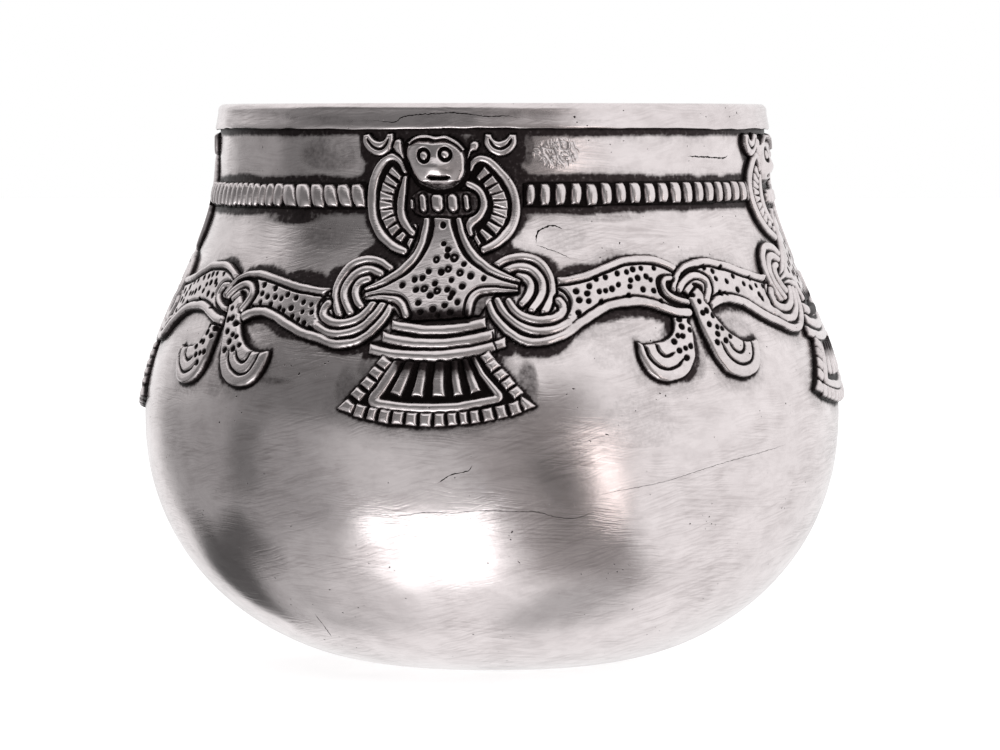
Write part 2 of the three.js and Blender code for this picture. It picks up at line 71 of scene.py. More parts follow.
# Heights of the relief above the skin, and the widths of its cuts
SUNK = 0.25
FLOOR = 0.3
PLATE = 0.75
STRIP = 1.05
BEAD = 1.25
BLOCK = 1.15
BROW = 1.65
MOAT = 0.22
EDGE = 0.26
BEVEL = 0.45
STRIP_DROP = 0.36
BORDER = 1.4
FINE_BORDER = 1.15
PUNCH_RADIUS = 0.54
PUNCH_DEPTH = 0.42
PLATE_DROP = 0.25
PLATE_SHINE = 0.9
STRIP_SHINE = 0.97
# How softly a piece's edge rises, its foot darkens and its top was rubbed clean
FOOT_STEP = 0.5
RUB_PAST = 0.06
RUB_RAMP = 0.22
STRIP_BEVEL = 0.9
GROOVE = 0.4
GROOVE_TAPER = 12
GROOVE_POINT = 0.35
GROOVE_SLOPE = 0.12
GROOVE_FLAT = 0.25
GROOVE_FLOOR = 0.18
GROOVE_DARK = 0.6
PUNCH_SPREAD = 0.14
PUNCH_WAVE = (7.3, 2.1)
PUNCH_RIM = 0.75
PUNCH_HOLLOW = 0.5
PUNCH_FLAT = 0.2
PUNCH_RAMP = 0.24
SIDES = {-1: "left", 1: "right"}

# The canvas that the relief is drawn on, unrolled
COLUMNS = 2094
GRID = 2 * math.pi * FRIEZE_RADIUS / COLUMNS
CANVAS_LOW = 39.0
CANVAS_HIGH = 90.0
PATCH_SLACK = 0.3
PATCH_REACH = 0.5
CURVE_STEP = 0.35
SPOT_SOFT = 0.6

# Random unevenness in layers: strength, size of the spots, seed
DENTS = [(0.16, 17, 11), (0.05, 6.5, 12)]
DENTS_FULL = 8.0
SHAKE_U = [(0.09, 2.6, 21), (0.04, 0.9, 22)]
SHAKE_LEVEL = [(0.09, 2.4, 23), (0.04, 0.8, 24)]


def smooth(value):
    value = np.clip(value, 0, 1)
    return value * value * (3 - 2 * value)


def skin_radius(level):
    """Radius of the vessel's outer skin at a level."""
    rise = smooth((level - BELLY_LEVEL) / (NECK_LEVEL - BELLY_LEVEL))
    upper = BELLY_RADIUS - (BELLY_RADIUS - NECK_RADIUS) * rise
    below = np.clip((BELLY_LEVEL - level) / BELLY_LEVEL, 0, 1)
    lower = FOOT_RADIUS + (BELLY_RADIUS - FOOT_RADIUS) * (1 - below ** ROUNDNESS) ** (1 / ROUNDNESS)
    return np.where(level >= BELLY_LEVEL, upper, lower)


def skin_normal(level):
    """Outward normal of the skin's profile, as its radial and vertical parts."""
    step = 0.01
    slope = (skin_radius(level + step) - skin_radius(level - step)) / (2 * step)
    length = np.hypot(1, slope)
    return 1 / length, -slope / length


def mottle(angle, level, size, seed):
    """Smooth random values from -1 to 1 in spots of about this size, without a seam."""
    cells = max(3, round(2 * math.pi * FRIEZE_RADIUS / size))
    rows = int(RIM_TOP / size) + 4
    lattice = np.random.default_rng(seed).uniform(-1, 1, (rows, cells))
    across = np.mod(angle / (2 * math.pi), 1) * cells
    up = np.clip(level / size + 1, 0, rows - 2)
    column = np.floor(across).astype(int)
    row = np.floor(up).astype(int)
    side = smooth(across - column)
    rise = smooth(up - row)
    left = column % cells
    right = (column + 1) % cells
    low = lattice[row, left] * (1 - side) + lattice[row, right] * side
    high = lattice[row + 1, left] * (1 - side) + lattice[row + 1, right] * side
    return low * (1 - rise) + high * rise


def uneven(angle, level, layers):
    """Several layers of mottle, added up."""
    return sum(strength * mottle(angle, level, size, seed) for strength, size, seed in layers)


def spot(angle, level, place):
    """1 inside an oval on the skin and 0 outside, with a soft edge. u is from the front figure's axis."""
    u, middle, half_u, half_level = place
    from_axis = np.mod(angle - FIRST_TURN + math.pi, 2 * math.pi) - math.pi
    out = np.hypot((from_axis * FRIEZE_RADIUS - u) / half_u, (level - middle) / half_level)
    return 1 - smooth((out - SPOT_SOFT) / SPOT_SOFT)


def spots(angle, level, marks, ragged=1.0, most=1.0):
    """The strongest of several spots. Each is its place and its strength."""
    strongest = np.zeros(angle.shape)
    for place, strength in marks:
        share = np.clip(spot(angle, level, place) * ragged, 0, most)
        strongest = np.maximum(strongest, strength * share)
    return strongest


def dents(angle, level):
    """How far the hand-raised skin stands proud of its true shape."""
    return uneven(angle, level, DENTS) * smooth(level / DENTS_FULL)


def sag(angle, level):
    """How far the frieze lies below its true level."""
    share = smooth((SAG_TOP - level) / (SAG_TOP - SAG_WHOLE))
    return share * (SAG * np.cos(angle + SAG_TURN) + SAG_MEAN)


def at_radius(radius, angle, level):
    """Points in metres at a distance from the cup's axis."""
    return np.stack([radius * np.sin(angle), -radius * np.cos(angle), level], axis=-1) * MM


def on_skin(angle, level, lift):
    """Points in metres at a height above the dented skin."""
    radial, vertical = skin_normal(level)
    proud = lift + dents(angle, level)
    return at_radius(skin_radius(level) + proud * radial, angle, level + proud * vertical)


# The canvas
canvas_angle, canvas_level = np.meshgrid(
    np.arange(COLUMNS) * GRID / FRIEZE_RADIUS,
    np.arange(CANVAS_LOW, CANVAS_HIGH, GRID),
)
nominal = canvas_level + sag(canvas_angle, canvas_level)
nominal = canvas_level + sag(canvas_angle, nominal)
shake_u = uneven(canvas_angle, canvas_level, SHAKE_U)
shake_level = uneven(canvas_angle, canvas_level, SHAKE_LEVEL)
height = np.zeros_like(canvas_angle)
dark = np.zeros_like(canvas_angle)
owner = np.zeros(canvas_angle.shape, dtype=int)
owners = ["skin"]


class Place:
    """Where a motif lies: the turn of its axis, its side, and whether it leans with the figure."""

    def __init__(self, turn, side=1, leans=False):
        self.turn = turn
        self.side = side
        self.leans = leans

    def patch(self, points, reach):
        """The part of the canvas round these points: its index, and its u and level."""
        points = np.asarray(points, dtype=float)
        ends = self.side * points[:, 0]
        axis = self.turn * FRIEZE_RADIUS
        wide = reach + PATCH_SLACK + abs(LEAN) * self.leans
        tall = reach + PATCH_SLACK + SAG + SAG_MEAN
        first = math.floor((axis + ends.min() - wide) / GRID)
        last = math.ceil((axis + ends.max() + wide) / GRID)
        columns = np.arange(first, last + 1)
        low = max(0, math.floor((points[:, 1].min() - tall - CANVAS_LOW) / GRID))
        high = min(len(nominal), math.ceil((points[:, 1].max() + tall - CANVAS_LOW) / GRID))
        index = np.ix_(np.arange(low, high), columns % COLUMNS)
        level = nominal[index]
        u = columns * GRID - axis + np.zeros_like(level)
        if self.leans:
            u = u - LEAN * smooth((level - LEAN_FOOT) / (LEAN_TOP - LEAN_FOOT))
        return index, self.side * (u + shake_u[index]), level + shake_level[index]


def curve(points, step=CURVE_STEP):
    """A smooth curve through the points, as points about a step apart."""
    points = np.asarray(points, dtype=float)
    padded = np.vstack([2 * points[0] - points[1], points, 2 * points[-1] - points[-2]])
    path = [points[:1]]
    for i in range(len(points) - 1):
        before, start, end, after = padded[i:i + 4]
        count = max(1, round(np.linalg.norm(end - start) / step))
        t = np.linspace(0, 1, count + 1)[1:, None]
        path.append(0.5 * (
            2 * start + (end - before) * t + (2 * before - 5 * start + 4 * end - after) * t ** 2
            + (3 * start - before - 3 * end + after) * t ** 3
        ))
    return np.vstack(path)


def distance(path, u, level):
    """Distance to a path, and the share of the path's length at the nearest point."""
    lengths = np.linalg.norm(np.diff(path, axis=0), axis=1)
    reached = np.concatenate([[0], np.cumsum(lengths)])
    nearest = np.full(u.shape, np.inf)
    share = np.zeros(u.shape)
    for i, length in enumerate(lengths):
        along = (path[i + 1] - path[i]) / length
        way = np.clip((u - path[i, 0]) * along[0] + (level - path[i, 1]) * along[1], 0, length)
        gap = np.hypot(u - path[i, 0] - way * along[0], level - path[i, 1] - way * along[1])
        closer = gap < nearest
        nearest[closer] = gap[closer]
        share[closer] = (reached[i] + way[closer]) / reached[-1]
    return nearest, share


def within(outline, u, level):
    """How far inside a closed outline each point is. Outside is negative."""
    ends = np.asarray(outline, dtype=float)
    ends = np.vstack([ends, ends[:1]])
    nearest, _ = distance(ends, u, level)
    inside = np.zeros(u.shape, dtype=bool)
    for (u0, level0), (u1, level1) in zip(ends[:-1], ends[1:]):
        if level0 == level1:
            continue
        crosses = (level0 > level) != (level1 > level)
        inside ^= crosses & (u < u0 + (level - level0) / (level1 - level0) * (u1 - u0))
    return np.where(inside, nearest, -nearest)


def covered(inside):
    """1 on a piece and at its edge, falling to 0 just past it."""
    return smooth(2 * (inside + EDGE) / EDGE)


def darken(index, shade):
    dark[index] = np.maximum(dark[index], shade)


def lay(index, name, inside, top, moat=MOAT, bevel=BEVEL, drop=PLATE_DROP, clean=PLATE_SHINE,
        melts=False):
    """Raises what is inside to the top, and sinks a moat round it into what lies there already.
    clean says how bright the top was rubbed after the tarnish was left in the recesses. A piece
    that melts into what lies under it never cuts that down."""
    if name not in owners:
        owners.append(name)
    under = height[index]
    sink = smooth((inside + moat + EDGE) / EDGE) * (moat > 0)
    under = under + sink * (np.minimum(under, FLOOR) - under)
    foot = covered(inside) * smooth((top - under) / FOOT_STEP)
    crown = top - drop * (1 - np.clip(inside / bevel, 0, 1)) ** 2
    if melts:
        crown = np.maximum(crown, under)
    height[index] = under + smooth((inside + EDGE / 2) / EDGE) * (crown - under)
    darken(index, np.maximum(sink, foot))
    dark[index] *= 1 - clean * smooth((inside + RUB_PAST) / RUB_RAMP)
    owner[index] = np.where(inside > -EDGE / 2, owners.index(name), owner[index])


def strip(place, name, points, width, top=STRIP, moat=MOAT, melts=False):
    """A raised strip along a curve, rounded across. Its width and top may change in even shares."""
    widths = np.atleast_1d(width)
    index, u, level = place.patch(points, widths.max() / 2 + moat + EDGE)
    away, share = distance(curve(points), u, level)
    half = np.interp(share, np.linspace(0, 1, len(widths)), widths) / 2
    tops = np.atleast_1d(top)
    crown = np.interp(share, np.linspace(0, 1, len(tops)), tops)
    finish = {"bevel": STRIP_BEVEL * half, "drop": STRIP_DROP, "clean": STRIP_SHINE, "melts": melts}
    lay(index, name, half - away, crown, moat, **finish)


def plate(place, name, outline, top=PLATE, moat=0.0, **finish):
    """A flat plate inside an outline, or a hollow's floor where its top is low."""
    index, u, level = place.patch(outline, moat + EDGE)
    lay(index, name, within(outline, u, level), top, moat, **finish)


def wedge(place, name, start, end, widths, finish):
    """A raised bar with straight ends that widens from its start to its end."""
    start = np.array(start)
    end = np.array(end)
    along = (end - start) / np.linalg.norm(end - start)
    across = np.array([-along[1], along[0]]) / 2
    near = across * widths[0]
    far = across * widths[1]
    plate(place, name, [start - near, end - far, end + far, start + near], **finish)


def ground(place, name, outline, spread=0.0):
    """Dark ground that raised pieces stand on."""
    index, u, level = place.patch(outline, spread + EDGE)
    inside = within(outline, u, level) + spread
    lay(index, name, inside, FLOOR, moat=0, drop=0, clean=0)
    darken(index, covered(inside))


def groove(place, points, width=GROOVE, depth=GROOVE):
    """A dark cut along a curve, drawn out to a point at both ends."""
    index, u, level = place.patch(points, width)
    away, share = distance(curve(points), u, level)
    half = width / 2 * np.clip(np.minimum(share, 1 - share) * GROOVE_TAPER, GROOVE_POINT, 1)
    cut = 1 - smooth(away / (half + GROOVE_SLOPE) - GROOVE_FLAT)
    height[index] = np.maximum(height[index] - depth * cut, GROOVE_FLOOR)
    darken(index, 1 - smooth((away - half * GROOVE_DARK) / RUB_RAMP))


def punches(place, points, radius=PUNCH_RADIUS, hollow=False):
    """Round punch marks of uneven size. A hollow punch leaves only a ring."""
    for middle in points:
        size = radius * (1 + PUNCH_SPREAD * math.sin(np.dot(PUNCH_WAVE, middle)))
        index, u, level = place.patch([middle], size + EDGE)
        away = np.hypot(u - middle[0], level - middle[1])
        if hollow:
            away = np.abs(away - size * PUNCH_RIM) + size * PUNCH_HOLLOW
        height[index] -= PUNCH_DEPTH * (1 - smooth(away / size - PUNCH_FLAT))
        darken(index, 1 - smooth((away - size * PUNCH_RIM) / PUNCH_RAMP))


def between(middles, first, last):
    """The seams halfway between neighbours in a row, with the two ends."""
    return [first] + [(left + right) / 2 for left, right in zip(middles[:-1], middles[1:])] + [last]


def mirrored(points):
    return [(-u, level) for u, level in reversed(points)]


def shifted(points, shift):
    return [(u + shift, level) for u, level in points]


def closed(points):
    """A smooth closed outline through the points."""
    return curve(points + points[:1])


# Wing: an outer and an inner strip with a fan of bars between them, on dark ground
# Its two sides, 1 for the right, were laid out and differ a little.
WING_OUTER = {
    1: [(5.75, 82.9), (6.2, 83.7), (6.95, 84.3), (7.9, 84.5), (9.1, 84.05), (10.5, 82.8), (11.7, 81.2),
        (12.45, 79.5), (12.65, 77.7), (12.4, 76), (11.7, 74.4), (10.6, 73), (9.4, 71.9), (8, 71.1),
        (6.6, 70.5)],
    -1: [(5.95, 82.6), (6.3, 83.7), (7, 84.55), (7.9, 84.85), (9, 84.5), (10.3, 83.4), (11.5, 81.9),
         (12.3, 80.1), (12.6, 78.2), (12.5, 76.4), (11.9, 74.6), (10.8, 73), (9.5, 71.9), (8.1, 71.1),
         (6.6, 70.5)],
}
WING_INNER = {
    1: [(4.95, 80.5), (5.9, 80.05), (6.7, 79.3), (7.05, 78.3), (7, 77.2), (6.45, 76.2), (5.6, 75.4),
        (4.7, 74.7), (4.3, 73.9), (4.5, 73)],
    -1: [(5.75, 82.1), (6.3, 80.7), (6.8, 79), (7.15, 77.7), (7.2, 76.5), (6.9, 75.2), (6.15, 74.1),
         (5.25, 73.2)],
}
WING_OUTER_WIDTHS = (1.0, 1.3, 1.45, 1.65, 1.7, 1.65, 1.5, 1.3)
WING_INNER_WIDTHS = {1: (1.2, 1.5, 1.6, 1.6, 1.6, 1.4, 1.0), -1: (0.6, 1.0, 1.4, 1.6, 1.6, 1.5, 1.2)}
WING_TAIL = [(4.8, 74.2), (5, 73.3), (5.4, 72.2), (6, 71.1)]
WING_TAIL_WIDTH = 0.8
WING_TAIL_MOAT = 0.12
LADDER_BARS = 9
LADDER_MIDDLE = (6.4, 77.6)
LADDER_FIRST = math.radians(74)
LADDER_STEP = math.radians(19.5)
LADDER_REACH = 3.55
LADDER_STRETCH = 0.48
LADDER_TILT = 0.55
LADDER_HALF = 1.25
LADDER_WIDTHS = (0.8, 1.5)
LADDER_FINISH = {"top": 1.0, "bevel": 0.4, "drop": 0.35, "clean": STRIP_SHINE}


def wing(place, name):
    outer = WING_OUTER[place.side]
    inner = WING_INNER[place.side]
    ground(place, name, outer + WING_TAIL[::-1] + inner[::-1])
    for k in range(LADDER_BARS):
        turn = LADDER_FIRST - k * LADDER_STEP
        reach = LADDER_REACH + LADDER_STRETCH * abs(turn) ** 3
        tilt = LADDER_TILT * turn
        middle = np.array(LADDER_MIDDLE) + reach * np.array([math.cos(turn), math.sin(turn)])
        half = LADDER_HALF * np.array([math.cos(tilt), math.sin(tilt)])
        wedge(place, name, middle - half, middle + half, LADDER_WIDTHS, LADDER_FINISH)
    strip(place, name, WING_TAIL, WING_TAIL_WIDTH, moat=WING_TAIL_MOAT)
    strip(place, name, inner, WING_INNER_WIDTHS[place.side])
    strip(place, name, outer, WING_OUTER_WIDTHS)


# Mask, drawn on a line of its own a little beside the figure's axis
MASK_SHIFT = -0.35
MASK_OUTLINE = [
    (-0.3, 87.35), (1.6, 87.5), (2.9, 87.35), (4, 86.75), (5, 85.7), (5.3, 84.4), (5.15, 82.7),
    (4.25, 81.2), (2.7, 80.15), (0.9, 79.75), (-0.4, 79.7), (-1.9, 80.05), (-3.3, 80.8), (-4.1, 82),
    (-4.75, 83.5), (-5.1, 85), (-5, 86.1), (-4.4, 86.95), (-3.5, 87.35), (-2.2, 87.45),
]
MASK_GROUND = 0.7
MASK_REACH = 1.0
MASK_FINISH = {"moat": 0.3, "bevel": 0.8, "drop": 0.6, "clean": 0.95}
MASK_MIDDLE = (0.1, 83.6)
MASK_HALF = (5.4, 4.0)
MASK_EDGE = 1.05
MUZZLE_MIDDLE = (-0.3, 82.9)
MUZZLE_HALF = (3.8, 2.1)
MUZZLE_RISE = 0.55
CHIN_LEVEL = 81.1
CHIN_DROP = 0.35
CHIN_RAMP = 0.6
CHIN_SHADE = 0.62
EYES = [(-1.8, 85.0), (1.9, 85.2)]
EYE_RING = 0.96
EYE_CUT = 0.21
EYE_REACH = 2.0
EYE_DEPTH = 0.5
EYE_SLOPE = 0.36
EYE_RAMP = 0.18
PUPIL_RISE = 0.2
PUPIL_RADIUS = 0.8
HAIR = [
    (-4.3, 86.95), (-3.5, 87.6), (-2.5, 87.95), (-0.9, 87.95), (0.4, 87.75), (1.7, 87.95), (2.8, 87.75),
    (3.7, 87.25), (4.5, 86.65), (5.15, 85.95),
]
HAIR_WIDTHS = (0.4, 0.6, 0.5, 0.6, 0.45)
HAIR_TOP = 1.45
HAIR_MOAT = 0.02
MOUTH = [(-1.5, 81.5), (0.3, 81.4), (2.15, 81.45)]
MOUTH_WIDTH = 0.5
MOUTH_DEPTH = 0.8
EARS = [
    [(-7.85, 86.5), (-7.3, 87.5), (-6.5, 87.7), (-6.05, 87.2), (-6.05, 85.95), (-5.9, 84.5), (-6.6, 85.1),
     (-7.4, 85.65)],
    [(5.85, 86.95), (6.65, 87.4), (7.45, 87.1), (7.55, 86.4), (7, 85.7), (6.25, 85.5), (5.4, 84.55),
     (5.65, 85.8)],
]
EAR_FINISH = {"top": STRIP, "moat": 0.15, "bevel": 0.7, "drop": 0.5}
CRESCENT_OUTER = [
    (8.4, 88.5), (8.3, 87), (9.15, 85.6), (11, 84.8), (12.9, 85.4), (14, 86.8), (13.95, 88.4),
]
CRESCENT_TOP = [(12.8, 88.5), (12.1, 87.7), (11.05, 87.35), (10.05, 87.6), (9.5, 88.5)]
CRESCENT_GROOVE = [
    (9.2, 87.6), (9.7, 86.75), (10.4, 86.2), (11.2, 86.05), (12.05, 86.3), (12.75, 86.9), (13.1, 87.6),
]
CRESCENT_GROOVE_WIDTH = 0.36
CRESCENT_SHIFT = {1: 0.0, -1: -0.65}
CRESCENT_FINISH = {"top": STRIP, "moat": 0.15, "bevel": 0.6, "drop": 0.4, "clean": STRIP_SHINE}


def oval(u, level, middle, half):
    """1 at the middle of an oval, falling to 0 at its edge."""
    return 1 - smooth(np.hypot((u - middle[0]) / half[0], (level - middle[1]) / half[1]))


def mask(turn, name):
    place = Place(turn, leans=True)
    outline = closed(shifted(MASK_OUTLINE, MASK_SHIFT))
    ground(place, name, outline, spread=MASK_GROUND)
    for ear in EARS:
        plate(place, name, closed(ear), **EAR_FINISH)
    index, u, level = place.patch(outline, MASK_REACH)
    dome = MASK_EDGE + (BROW - MASK_EDGE) * oval(u - MASK_SHIFT, level, MASK_MIDDLE, MASK_HALF)
    dome = dome + MUZZLE_RISE * oval(u - MASK_SHIFT, level, MUZZLE_MIDDLE, MUZZLE_HALF)
    inside = within(outline, u, level)
    chin = smooth((CHIN_LEVEL - level) / CHIN_RAMP)
    lay(index, name, inside, dome - CHIN_DROP * chin, **MASK_FINISH)
    darken(index, CHIN_SHADE * chin * (inside > 0))
    strip(place, name, shifted(HAIR, MASK_SHIFT), HAIR_WIDTHS, HAIR_TOP, HAIR_MOAT)
    for eye in shifted(EYES, MASK_SHIFT):
        index, u, level = place.patch([eye], EYE_REACH)
        away = np.hypot(u - eye[0], level - eye[1])
        off = np.abs(away - EYE_RING)
        height[index] -= EYE_DEPTH * (1 - smooth(off / EYE_SLOPE - PUNCH_FLAT))
        height[index] += PUPIL_RISE * (1 - smooth(away / PUPIL_RADIUS))
        darken(index, 1 - smooth((off - EYE_CUT) / EYE_RAMP))
    groove(place, shifted(MOUTH, MASK_SHIFT), MOUTH_WIDTH, MOUTH_DEPTH)


def crescent(place, name):
    shift = CRESCENT_SHIFT[place.side]
    outline = np.vstack([curve(shifted(CRESCENT_OUTER, shift)), curve(shifted(CRESCENT_TOP, shift))])
    plate(place, name, outline, **CRESCENT_FINISH)
    groove(place, shifted(CRESCENT_GROOVE, shift), CRESCENT_GROOVE_WIDTH)


# Torso: a bell-shaped dotted plate that draws out to a tip each side, between border strips.
# Its two sides, 1 for the right, were laid out and differ a little.
TORSO_BORDER = {
    1: [(2.6, 75.6), (2.7, 74.6), (2.85, 73.7), (3.05, 72.8), (3.4, 71.9), (3.95, 71), (4.6, 70.1),
        (5.45, 69.1), (6.55, 68.2), (7.9, 67.2), (9.75, 66.25), (12.1, 65.3)],
    -1: [(2.7, 75.6), (2.85, 74.6), (3.1, 73.7), (3.3, 72.8), (3.5, 71.9), (3.9, 71), (4.35, 70.1),
         (5, 69.1), (5.9, 68.2), (7, 67.2), (8.5, 66.25), (10.2, 65.35), (12.2, 64.5)],
}
TORSO_BORDER_WIDTHS = (1.05, 1.2, 1.3, 1.35, 1.25, 1.0, 0.35)
TORSO_PLATE_TOP = {
    1: [(1.1, 75.6), (1.05, 74.6), (1.2, 73.7), (1.5, 72.8), (1.85, 71.9), (2.2, 71), (2.75, 70.1),
        (3.5, 69.1), (4.4, 68.2), (5.75, 67.2), (7.6, 66.25), (11.6, 64.75)],
    -1: [(1.4, 75.6), (1.35, 74.6), (1.45, 73.7), (1.65, 72.8), (1.9, 71.9), (2.25, 71), (2.75, 70.1),
         (3.35, 69.1), (4, 68.2), (4.95, 67.2), (6.3, 66.25), (8.2, 65.3), (12, 64)],
}
TORSO_PLATE_FOOT = {
    1: [(11.6, 64.55), (8.5, 64.75), (6, 64.55), (4.9, 64), (4.2, 63.2), (3.65, 62), (3.4, 60.2)],
    -1: [(12, 63.7), (9, 64.05), (7.3, 64), (5.9, 63.3), (5, 62.3), (4.5, 61.3), (4.1, 59.8)],
}
TORSO_ARCH = {
    1: [(11.7, 63.85), (9.5, 63.95), (7.6, 64), (6.2, 63.85), (5.3, 63.3), (4.7, 62.4), (4.5, 61.4),
        (4.35, 60.6)],
    -1: [(11.7, 63.05), (9.5, 63.2), (8, 63.05), (6.6, 62.75), (5.8, 62.1), (5.35, 61.3), (4.95, 60.4)],
}
TORSO_ARCH_WIDTHS = (0.3, 0.85, 1.15, 1.15)
TORSO_GROUND = 0.2
TORSO_SPREAD = 0.25
TORSO_SHADE = [(-12, 63), (-8.4, 63), (-6, 60.2), (6, 60.2), (8.4, 63.6), (12, 63.6)]
TORSO_SHADE_FINISH = {"top": 0.55, "drop": 0, "clean": 0.45}
# The shade over the plate's foot: its two corners, strength and soft edges
FOOT_SHADE_BOX = [(-4.6, 60), (4.4, 62.4)]
FOOT_SHADE = 0.85
FOOT_SHADE_RISE = 2.2
FOOT_SHADE_HALF = 5.0
FOOT_SHADE_SIDE = 0.8
TORSO_PUNCHES = [
    (-0.35, 74.3), (0, 71.45), (0.75, 70.5), (0.65, 69.5), (3.45, 68.15), (-2.15, 67.15), (-0.15, 67),
    (4.5, 66.3), (6.55, 65.85), (-4.35, 65.95), (-3.1, 66.2), (1.55, 65.7), (-1.05, 65.2), (-6.15, 65),
    (-3.9, 64.35), (3.3, 64.7), (0.95, 64.25), (-1.55, 63.4), (1.85, 63.65), (1.5, 63), (-3.3, 62.3),
    (0.75, 61.85), (-1, 61.25), (2.65, 62.2), (1.6, 60.7), (-2.85, 60.85), (-0.2, 60.3),
]
TORSO_RINGS = [(-1.05, 68.95), (1.85, 69.2), (0.95, 67.4), (2.85, 66.8), (-2.6, 64.5), (-0.6, 64.1)]
COLLAR_OUTLINE = [
    (-5.5, 77.7), (-5, 78.8), (-3.8, 79.45), (-2, 79.6), (0.2, 79.55), (2.6, 79.55), (4.9, 79.5),
    (6.05, 78.9), (6.3, 77.7), (5.8, 76.35), (4.4, 75.7), (2.1, 75.6), (-1, 75.65), (-3.6, 75.75),
    (-5, 76.3),
]
COLLAR_LEVEL = 77.65
COLLAR_TALL = 1.95
COLLAR_CROWN = 1.05
COLLAR_DIP = 0.5
COLLAR_FINISH = {"moat": 0.15, "clean": 0.32}
COLLAR_BEAD_TOP = 1.35
COLLAR_BEAD_MOAT = 0.08
COLLAR_BEADS = [
    # middle, width, lower and upper end
    (-5.1, 0.6, 76.6, 78.2), (-3.15, 1.25, 76.2, 78.95), (-0.7, 2.0, 76.2, 79.1),
    (1.9, 1.8, 76.15, 79.05), (4.25, 1.05, 76.4, 78.95),
]


def torso(turn, name):
    whole = Place(turn, leans=True)
    outline = TORSO_BORDER[1] + TORSO_ARCH[1] + mirrored(TORSO_BORDER[-1] + TORSO_ARCH[-1])
    ground(whole, name, outline, spread=TORSO_GROUND)
    plate(whole, name, TORSO_SHADE, **TORSO_SHADE_FINISH)
    half = {
        side: np.vstack([curve(TORSO_PLATE_TOP[side]), curve(TORSO_PLATE_FOOT[side])])
        for side in SIDES
    }
    outline = np.vstack([half[1], half[-1][::-1] * (-1, 1)])
    index, u, level = whole.patch(outline, TORSO_SPREAD + EDGE)
    lay(index, name, within(outline, u, level) + TORSO_SPREAD, PLATE, moat=0)
    for side in SIDES:
        place = Place(turn, side, leans=True)
        strip(place, name, TORSO_ARCH[side], TORSO_ARCH_WIDTHS)
        strip(place, name, TORSO_BORDER[side], TORSO_BORDER_WIDTHS)
    punches(Place(turn), TORSO_PUNCHES)
    punches(Place(turn), TORSO_RINGS, hollow=True)
    index, u, level = whole.patch(FOOT_SHADE_BOX, 0)
    rise = smooth((FOOT_SHADE_BOX[1][1] - level) / FOOT_SHADE_RISE)
    darken(index, FOOT_SHADE * rise * smooth((FOOT_SHADE_HALF - np.abs(u)) / FOOT_SHADE_SIDE))
    barrel = closed(COLLAR_OUTLINE)
    index, u, level = whole.patch(barrel, PATCH_REACH)
    crown = COLLAR_CROWN - COLLAR_DIP * ((level - COLLAR_LEVEL) / COLLAR_TALL) ** 2
    lay(index, name, within(barrel, u, level), crown, **COLLAR_FINISH)
    for middle, width, low, high in COLLAR_BEADS:
        ends = [(middle, low + width / 2), (middle, high - width / 2)]
        strip(whole, name, ends, width, COLLAR_BEAD_TOP, COLLAR_BEAD_MOAT)


# Ring and loop: three strands side by side each
RING_STRANDS = [
    [(8.5, 67.85), (10.2, 68.85), (12.3, 69.2), (14.3, 68.9), (15.8, 67.9), (16.8, 66.3), (17.15, 64.7),
     (16.95, 63.1), (16.3, 61.6), (15.7, 60.5)],
    [(10, 67), (11.7, 67.55), (13.4, 67.4), (14.8, 66.5), (15.6, 65.1), (15.6, 63.7), (14.9, 62.3),
     (13.9, 60.9)],
    [(12, 66.1), (13.1, 65.75), (13.75, 64.9), (13.7, 63.8), (13.1, 62.7), (12.4, 61.9)],
]
LOOP_STRANDS = [
    [(7.5, 62.2), (7.95, 60.7), (8.8, 59.3), (10.05, 57.8), (11.5, 56.7), (13, 56.1), (14.5, 55.95),
     (16.5, 56.25), (18.75, 57.1)],
    [(8.65, 62.5), (9.45, 61.1), (10.5, 59.75), (11.95, 58.5), (13.5, 57.8), (15.25, 57.6), (17.25, 57.9),
     (19.15, 58.8)],
    [(10.35, 62.4), (11.1, 61.2), (12.2, 60.1), (13.7, 59.45), (15.3, 59.25), (17, 59.55), (18.3, 60.3),
     (18.45, 61.4), (17.95, 62.2)],
]
LOOP_LINE = [(18.05, 64.2), (19.15, 63.3), (19.65, 62), (19.35, 60.6), (18.45, 59.8)]
LOOP_LINE_WIDTH = 0.5
RING_WIDTHS = (1.2, 1.35, 1.35, 1.3, 1.2)
LOOP_WIDTHS = (1.1, 1.3, 1.3, 1.3)
# Where the loop's strands run on into a ribbon: the outer one as its lower border, the next as its plate
JOIN_START = [(13, 56.1), (14.5, 55.95), (16.5, 56.25), (18.4, 56.95)]
JOIN_BORDER = {
    1: [(19.9, 57.9), (21.15, 58.7), (23.15, 59.9), (25.15, 60.9)],
    -1: [(20.7, 57.75), (22.7, 58.5), (24.7, 59.5), (26.7, 60.5)],
}
JOIN_PLATE = [(15.25, 57.6), (17.25, 57.9), (19.15, 58.9), (19.9, 59.5)]
JOIN_PLATE_WIDTHS = (1.3, 1.3, 1.4, 1.5)
JOIN_PLATE_TOPS = (STRIP, 0.85, PLATE)
JOIN_BORDER_WIDTHS = (1.3, BORDER)


def ring(place, name):
    ground(place, name, RING_STRANDS[0] + RING_STRANDS[2][::-1])
    for strand in RING_STRANDS:
        strip(place, name, strand, RING_WIDTHS)


def hang(u):
    """How far the last knot's right ribbon hangs lower between its two ends, as a share."""
    start, end = RIGHT_TOP[0][0], RIGHT_TOP[-1][0]
    return math.sin(math.pi * min(max((u - start) / (end - start), 0), 1))


